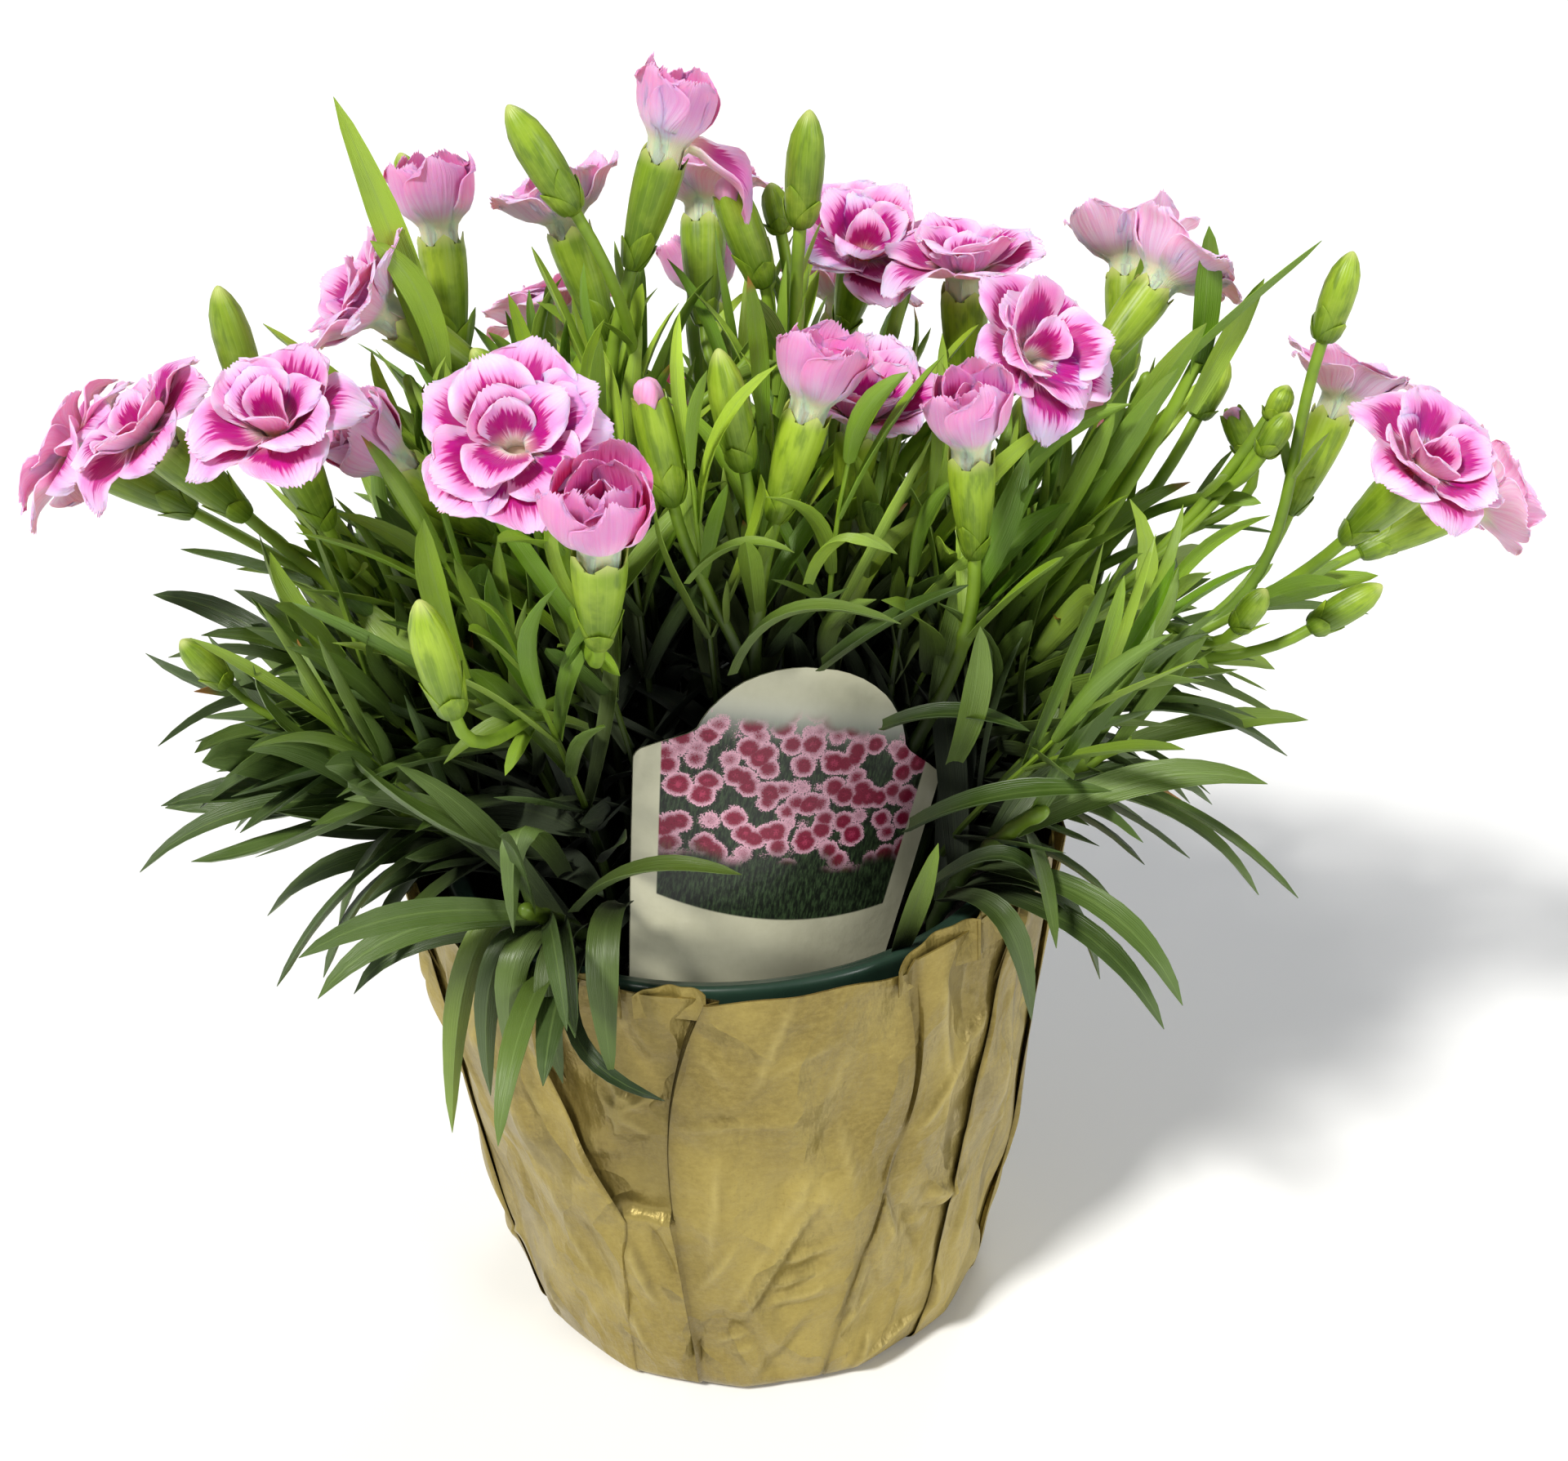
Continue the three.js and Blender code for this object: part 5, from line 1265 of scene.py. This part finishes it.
def wrap_columns():
    """The columns round the wrap as (panel's number, share, turn in degrees, stand), with folds between panels."""
    columns = []
    for i, panel in enumerate(PANELS):
        following = (i + 1) % len(PANELS)
        shares = np.linspace(0, 1, 37 if i in FINE_PANELS else 15)
        columns += [(i, share, 0, mix(*panel[2], share)) for share in shares]
        right, left = panel[2][1], PANELS[following][2][0]
        if right > left + 0.3:
            columns += [(i, 1, 0.4, mix(right, left, 0.25)), (i, 1, -FOLD, left + 0.25)]
        elif left > right + 0.3:
            columns += [(following, 0, FOLD, right + 0.25), (following, 0, -0.4, mix(left, right, 0.25))]
        else:
            columns += [(i, 1, 0.25, right - 0.5), (following, 0, -0.25, left - 0.5)]
    return columns


def wrap_edges(number):
    """The turns of a panel's left and right edges at every row."""
    (top_left, top_right), (base_left, base_right) = PANELS[number][:2]
    bow = np.sin(math.pi * WRAP_ROWS**1.6)
    left = mix(base_left, top_left, WRAP_ROWS) + EDGE_BOWS[number - 1] * bow
    right = mix(base_right, top_right, WRAP_ROWS) + EDGE_BOWS[number] * bow
    hollow = np.interp(WRAP_ROWS * WRAP["height"], *zip(*HOLLOW["left"]))
    if number == HOLLOW["panel"]:
        left = hollow + 0.8
    elif number == HOLLOW["panel"] - 1:
        right = hollow - 0.8
    return left, right


# Where the gathered paper shows a second layer inside the rim: from and to which turn, the height of its edge
# at both, how far it stands off the cup at its ends and how much less in the middle.
RIM_LOOPS = (
    (27, 44, 103.4, 106.6, 0.9, 2.6), (43.5, 53, 106.4, 104.6, 0.7, 1.6), (-16, -4, 102.9, 103.9, -0.9, 1.6),
    (-31, -18, 103, 104.4, -0.6, 2.0),
)


def add_loops(mesh):
    share, row = np.linspace(0, 1, 21)[None, :], np.linspace(0, 1, 7)[:, None]
    for start, end, first, last, stand, inset in RIM_LOOPS:
        turn = np.radians(mix(start, end, share) - 90) + 0 * row
        bulge = np.sin(math.pi * share) ** 0.7
        height = mix(97, mix(first, last, share) - 1.2 * (1 - bulge), row)
        radius = WRAP["top"] + stand - inset * bulge * mix(0.8, 1, row) + 0.3 * np.sin(share * 17 + start) * row
        outer, inner = (ring(np.cos(turn), np.sin(turn), radius + offset, height) for offset in (0.15, -0.15))
        # The loops carry a little painted shade in the tint.
        mesh.sheet(outer, inner, turn * WRAP_RADIUS, height, (0.0, 0.2, 0))


PAPER_THICKNESS = 0.42  # of the part of the wrap that shows
PER_RADIAN = 57.3  # degrees, near enough for the paper's grain


def dress_wrap():
    mesh = Mesh()
    number, share, turn, stand = (np.array(values)[None, :] for values in zip(*wrap_columns()))
    row = WRAP_ROWS[:, None]
    height = row * (WRAP["height"] + np.array([panel[3] for panel in PANELS])[number])
    left, right = np.array([wrap_edges(i) for i in range(len(PANELS))])[number[0]].transpose(1, 2, 0)
    angle = mix(left, right, share) + turn
    # The outer paper closes over the hollow's foot.
    over = 1 - smooth(HOLLOW["floor"] - 1.1, HOLLOW["floor"] + 1.1, height + 0.5 * np.sin(np.radians(angle) * 14))
    # Below it the paper beside the hollow lies over the front panel, so the fold between them closes.
    shut = over * ((number == 0) & (share == 0) & (turn != 0))
    angle = angle - shut * (turn + np.where(turn > 0, 0.9, 0.3))
    bearing = np.radians(angle)
    hollow = number == HOLLOW["panel"]
    sunk = hollow | ((number == HOLLOW["panel"] - 1) & (turn != 0))
    stand = np.where(sunk, mix(np.where(hollow, HOLLOW["deep"], stand), HOLLOW["flush"], over), stand)
    stand = mix(stand, np.where(turn > 0, 1.7, 0.6), shut)
    proud = smooth(0.9, 1.6, stand) * (np.abs(share - 0.5) * 2) ** 3
    flare = 1.1 * proud * smooth(0.86, 1.0, row)
    under = np.clip(1 - height / WRAP["heel_height"], 0, 1)
    heel = WRAP["heel_inset"] * (1 - np.sqrt(np.clip(1 - under**2, 0, 1)))
    # sharp is the creases' painted highlight and dark their painted shade; both go into the tint, which the paper
    # turns into colour.
    lift, sharp, dark = crease_field(bearing * WRAP_RADIUS % (2 * math.pi * WRAP_RADIUS), height)
    # More painted shade: in the hollow under the outer paper, darkest by its left edge, near the edges of low panels
    # and in the folds between panels.
    dark = np.maximum(dark, hollow * (1 - over) * (0.3 + 0.7 * np.exp(-4.5 * share)))
    dark = np.maximum(dark, np.where(turn == 0, 0.7 * np.exp(-np.minimum(share, 1 - share) * 22) * (stand < 1), 0.9))
    calm = smooth(0, 7, height) * (1 - 0.5 * smooth(0.95, 1, row)) * np.where(turn == 0, 1, 0.3)
    corners = 0.9 * (1 - smooth(0, 0.11, row)) * np.abs(np.sin(bearing * 6.5 + 0.4))
    cup = mix(WRAP["base"], WRAP["top"], row)
    radius = (cup + WRAP["belly"] * np.sin(math.pi * row) - corners
              + stand * mix(0.45, 1, row) + flare - heel + np.clip(lift * calm, -1.5, 2.2) - 0.25)
    waves = 0.5 * np.sin(bearing * 9) + 0.3 * np.sin(bearing * 23)
    height = height + waves * smooth(0.9, 1, row)

    # From the middle of the base up the outside, down the inside, and back to the middle.
    top = WRAP_ROWS > 0.9
    keep = np.linspace(top.sum() + 2, len(WRAP_ROWS) - 4, 7).astype(int)
    keep = np.concatenate((np.flatnonzero(top[::-1]), keep))
    x, y = np.cos(np.radians(angle - 90)), np.sin(np.radians(angle - 90))
    lining = np.minimum(radius - PAPER_THICKNESS, cup - mix(1.9, 1.2, row) + 40 * smooth(0.86, 0.93, row))
    outside, inside = ring(x, y, radius, height), ring(x, y, lining, np.maximum(height, 0.5))[::-1][keep]
    below = [outside[0] * (k, k, 1) for k in (0.0, 0.4, 0.8)]
    above = [inside[-1] * (k, k, 0) + (0, 0, 0.9) for k in (0.9, 0.5, 0.0)]
    flat = np.zeros((3, angle.shape[1]))
    sharp, dark = (np.concatenate((flat, k, k[::-1][keep], flat)) for k in (sharp * calm, dark))
    across = np.concatenate((flat + angle[:1], angle, angle[::-1][keep], flat + angle[:1])) / PER_RADIAN * WRAP_RADIUS
    up = np.concatenate((flat, height, inside[..., 2], flat))
    side = np.concatenate((np.zeros(3 + len(outside)), np.ones(len(inside) + 3)))[:, None]
    rings = np.concatenate((below, outside, inside, above))
    mesh.tube(rings, (across, up, side), np.stack((sharp, dark, sharp * 0), -1), capped=False)
    add_loops(mesh)
    return mesh.build("kraft_wrap", PAPER, sharp=60)


# ---- Pot, soil and label ----
def lathe(mesh, profile, sides, at):
    rings = turned_form(*circle(sides), profile) + vec(*at)
    mesh.tube(rings, (around(sides), np.linspace(0, 1, len(profile))[:, None], 0.0))


def dress_pot():
    mesh, bits = Mesh(), Mesh()
    h, foot, wall = POT["height"], POT["height"] - POT["lip_height"], POT["wall"]
    lip, top, base = POT["lip"], POT["top"], POT["base"]
    lathe(mesh, (
        (base - 1, 0), (base - 0.3, 0.25), (base, 1), (top - 0.15, foot - 0.6), (top + 0.4, foot - 0.1),
        (lip - 0.5, foot), (lip - 0.05, foot + 0.3), (lip + 0.1, foot + 1.1), (lip + 0.3, h - 2.0),
        (lip + 0.38, h - 1.2), (lip + 0.25, h - 0.55), (lip - 0.1, h - 0.18), (lip - 0.6, h), (lip - 1.2, h - 0.15),
        (lip - 1.7, h - 0.45), (top + 1.4, h - 0.6), (top + 0.5, h - 0.9), (top + 0.1, h - 1.6),
        (top - wall + 0.2, foot - 0.4), (top - wall, foot - 1), (base - wall, wall + 0.5), (base - wall - 0.5, wall),
    ), 120, (0, 0, POT_FLOOR))
    piece = mesh.build("green_pot", PLASTIC)
    for i in range(DRAIN["count"]):
        centre = along(i * 90) * DRAIN["circle"]
        lathe(bits, ((DRAIN["radius"], -3), (DRAIN["radius"], 3)), 20, centre + vec(0, 0, POT_FLOOR + wall / 2))
    cutter = bits.build("drain_bits", PLASTIC)
    cut = piece.modifiers.new("drains", "BOOLEAN")
    cut.operation, cut.object, cut.solver = "DIFFERENCE", cutter, "EXACT"
    bpy.context.view_layer.update()
    done = bpy.data.meshes.new_from_object(piece.evaluated_get(bpy.context.evaluated_depsgraph_get()))
    piece.modifiers.clear()
    piece.data = done
    bpy.data.objects.remove(cutter)
    return piece


def ahead_of_label(points):
    """How far points on the soil lie behind the label's plane, less than 0 in front of it."""
    return (points - LABEL["foot"]) @ np.array(LABEL_TURN)[:2, 1]


PEAT = dict(base=38.2, top=49.3, crumbs=420)
# The hollow before the label: how deep, from and to where it sinks, and how near the label there are no crumbs.
DIP = dict(depth=7, edge=9, bottom=1, bare=10)
CRUMB = ((0.4, -0.7), (1.0, -0.2), (0.9, 0.35), (0.35, 0.75))  # a crumb's radius at heights, for a size of 1


def dress_soil():
    """The peat, crumbly on top, a little lower in front of the label."""
    mesh, draw = Mesh(), draws(31)
    x, y = circle(72)
    angle = around(72) * 2 * math.pi
    rings = [ring(x, y, PEAT["base"], SOIL_FLOOR), ring(x, y, PEAT["top"], SOIL_TOP - 1.2)]
    for r in np.linspace(48.9, 0.4, 26):
        bump = 0.9 * np.sin(angle * 3 + r * 0.35) + 0.6 * np.sin(angle * 7 - r * 0.6 + 1)
        bump = bump + np.array([0.9 * (draw() - 0.5) for _ in angle])
        dip = DIP["depth"] * smooth(DIP["edge"], DIP["bottom"], ahead_of_label(r * np.stack((x, y), -1)))
        rings.append(ring(x, y, r, SOIL_TOP - 0.3 + bump * min(1, r / 12) - dip))
    mesh.tube(np.array(rings), (0.0, 0.0, 0.0))
    for _ in range(PEAT["crumbs"]):
        r, a = 48.0 * math.sqrt(draw()), 6.283 * draw()
        if ahead_of_label(r * along(math.degrees(a))[:2]) < DIP["bare"]:
            continue
        size = 0.5 + 1.5 * draw() ** 2
        centre = vec(r * math.cos(a), r * math.sin(a), SOIL_TOP + 0.2 + 0.6 * draw())
        x, y = circle(6, draw())
        lump = [np.stack((f * x * vary(draw, 0.5), f * y * vary(draw, 0.5), 0 * x + z), -1) for f, z in CRUMB]
        mesh.tube(centre + size * np.array(lump), (0.0, 0.0, 0.0))
    return mesh.build("peat", SOIL)


# The label's outline: half width at each height over the soil.
LABEL_FORM = (
    (-20.6, 2), (-17, 8), (-12, 13), (-9.5, 22), (-6, 24.2), (3, 25.5), (20, 28), (36.5, 30.2), (37.6, 30.3),
    (38.5, 30.0), (39.2, 29.4), (40.6, 26.9), (42, 24.0), (43, 22), (43.6, 21.2), (44.3, 20.5), (46, 19.9),
    (48, 18.9), (50, 17.4), (52, 15.6), (53.5, 13.8), (55, 11.2), (56.1, 8.6), (56.9, 5.6), (57.3, 3),
)
CARD_HALF = 0.22  # half of the card's thickness


def dress_label():
    mesh = Mesh()
    heights, halves = np.array(LABEL_FORM).T
    rows = np.unique(np.concatenate((heights, np.linspace(-5, 36, 22))))[:, None]
    x = np.interp(rows, heights, halves) * np.linspace(-1, 1, 25)
    bow, z = x**2 / (2 * LABEL["bow"]), rows + 0 * x
    back, front = (np.stack((x, bow + offset, z), -1) for offset in (CARD_HALF, -CARD_HALF))
    mesh.sheet(back, front, x, z)
    piece = mesh.build("plain_label", CARD, sharp=40)
    piece.matrix_world = Matrix.Translation(Vector((*LABEL["foot"], SOIL_TOP)) * MM) @ LABEL_TURN.to_4x4()
    return piece


# ---- The plant ----
LEAF, GREEN, SEPAL = leaf_material(), stem_material(), calyx_material()
PINK, THROAT_WHITE = petal_material(), throat_material()
PAPER, PLASTIC, SOIL, CARD = paper_material(), pot_material(), soil_material(), label_material()


def show(piece, slot, *nodes):
    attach(piece, "root")
    if nodes:
        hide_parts(*nodes)


blooms = 0
for seed, (key, stem) in enumerate(STEMS.items(), 1):
    node = f"flower_stem_{key}"
    show(dress_stem(node, seed, *stem).build(f"stem_{key}", LEAF, GREEN, SEPAL, PINK), "green", node)
    for i, head in enumerate(stem[2], 1):
        if head[3] == "bloom":
            blooms += 1
            piece = dress_bloom(head, blooms, CUPS.get(f"{key}{i}")).build(f"flower_{key}{i}", PINK, THROAT_WHITE)
            show(piece, "petal", f"bloom_{key}{i}")
for seed, (key, shoot) in enumerate(SHOOTS.items(), len(STEMS) + 1):
    node = f"leafy_shoot_{key}"
    show(dress_shoot(node, seed, *shoot).build(f"shoot_{key}", LEAF, GREEN), "green", node)
for seed, layer in enumerate(MOUND, 701):
    show(dress_layer(layer, seed).build(f"mound_{layer['name']}", LEAF, GREEN), "green")
show(dress_lone_leaves().build("lone_leaves", LEAF, GREEN, SEPAL), "green")
show(dress_wrap(), "paper", "paper_wrap")
show(dress_pot(), "pot_plastic", "nursery_pot")
show(dress_soil(), "soil", "potting_soil")
show(dress_label(), "label_plastic", "plant_label")

# ---- Floor, light and camera ----
FLOOR = dict(half=4, top=-0.0003)  # in metres
floor_mesh = bpy.data.meshes.new("floor")
corners = [(x * FLOOR["half"], y * FLOOR["half"], FLOOR["top"]) for x, y in ((-1, -1), (1, -1), (1, 1), (-1, 1))]
floor_mesh.from_pydata(corners, [], [(0, 1, 2, 3)])
floor_mesh.materials.append(
    Nodes("studio_floor").set(base_color=(246, 246, 246), roughness=0.9, specular_ior_level=0.1))
placed("floor", floor_mesh)

world = bpy.data.worlds.new("studio")
world.use_nodes = True
background = world.node_tree.nodes["Background"].inputs
background["Color"].default_value, background["Strength"].default_value = (0.93, 0.96, 1.0, 1), 0.25
bpy.context.scene.world = world


def far_light(name, turn, rise, strength, spread, tint=(1, 1, 1)):
    """A light from far away, where turn and rise say where it stands."""
    lamp = bpy.data.lights.new(name, "SUN")
    lamp.energy, lamp.angle, lamp.color = strength, math.radians(spread), tint
    placed(name, lamp).rotation_euler = (-Vector(along(turn, rise))).to_track_quat("-Z", "Y").to_euler()


far_light("key", 230, 50, 3.3, 10, (1, 0.98, 0.93))
far_light("front", 320, 20, 1.1, 24)
far_light("back", 70, 46, 0.7, 20, (0.95, 0.98, 1))

# The camera of the photograph: a pitch of 27 degrees down and a roll of 2.6 degrees. Distances are in metres.
CAMERA = dict(focal_px=2600, width_px=1920, pitch=27, roll=2.6, distance=0.405, target=(0.011, 0, 0.121))
pitch, roll = math.radians(CAMERA["pitch"]), math.radians(CAMERA["roll"])
back = Vector((0, -math.cos(pitch), math.sin(pitch)))
right = Vector((1, 0, 0))
upward = back.cross(right)
right, upward = right * math.cos(roll) - upward * math.sin(roll), right * math.sin(roll) + upward * math.cos(roll)
lens = bpy.data.cameras.new("camera")
lens.sensor_width = 36
lens.lens = lens.sensor_width * CAMERA["focal_px"] / CAMERA["width_px"]
lens.clip_start = 0.01
camera = placed("camera", lens)
turned = Matrix((right, upward, back)).transposed().to_4x4()
camera.matrix_world = Matrix.Translation(Vector(CAMERA["target"]) + back * CAMERA["distance"]) @ turned
bpy.context.scene.camera = camera
bpy.context.scene.view_settings.view_transform = "Standard"
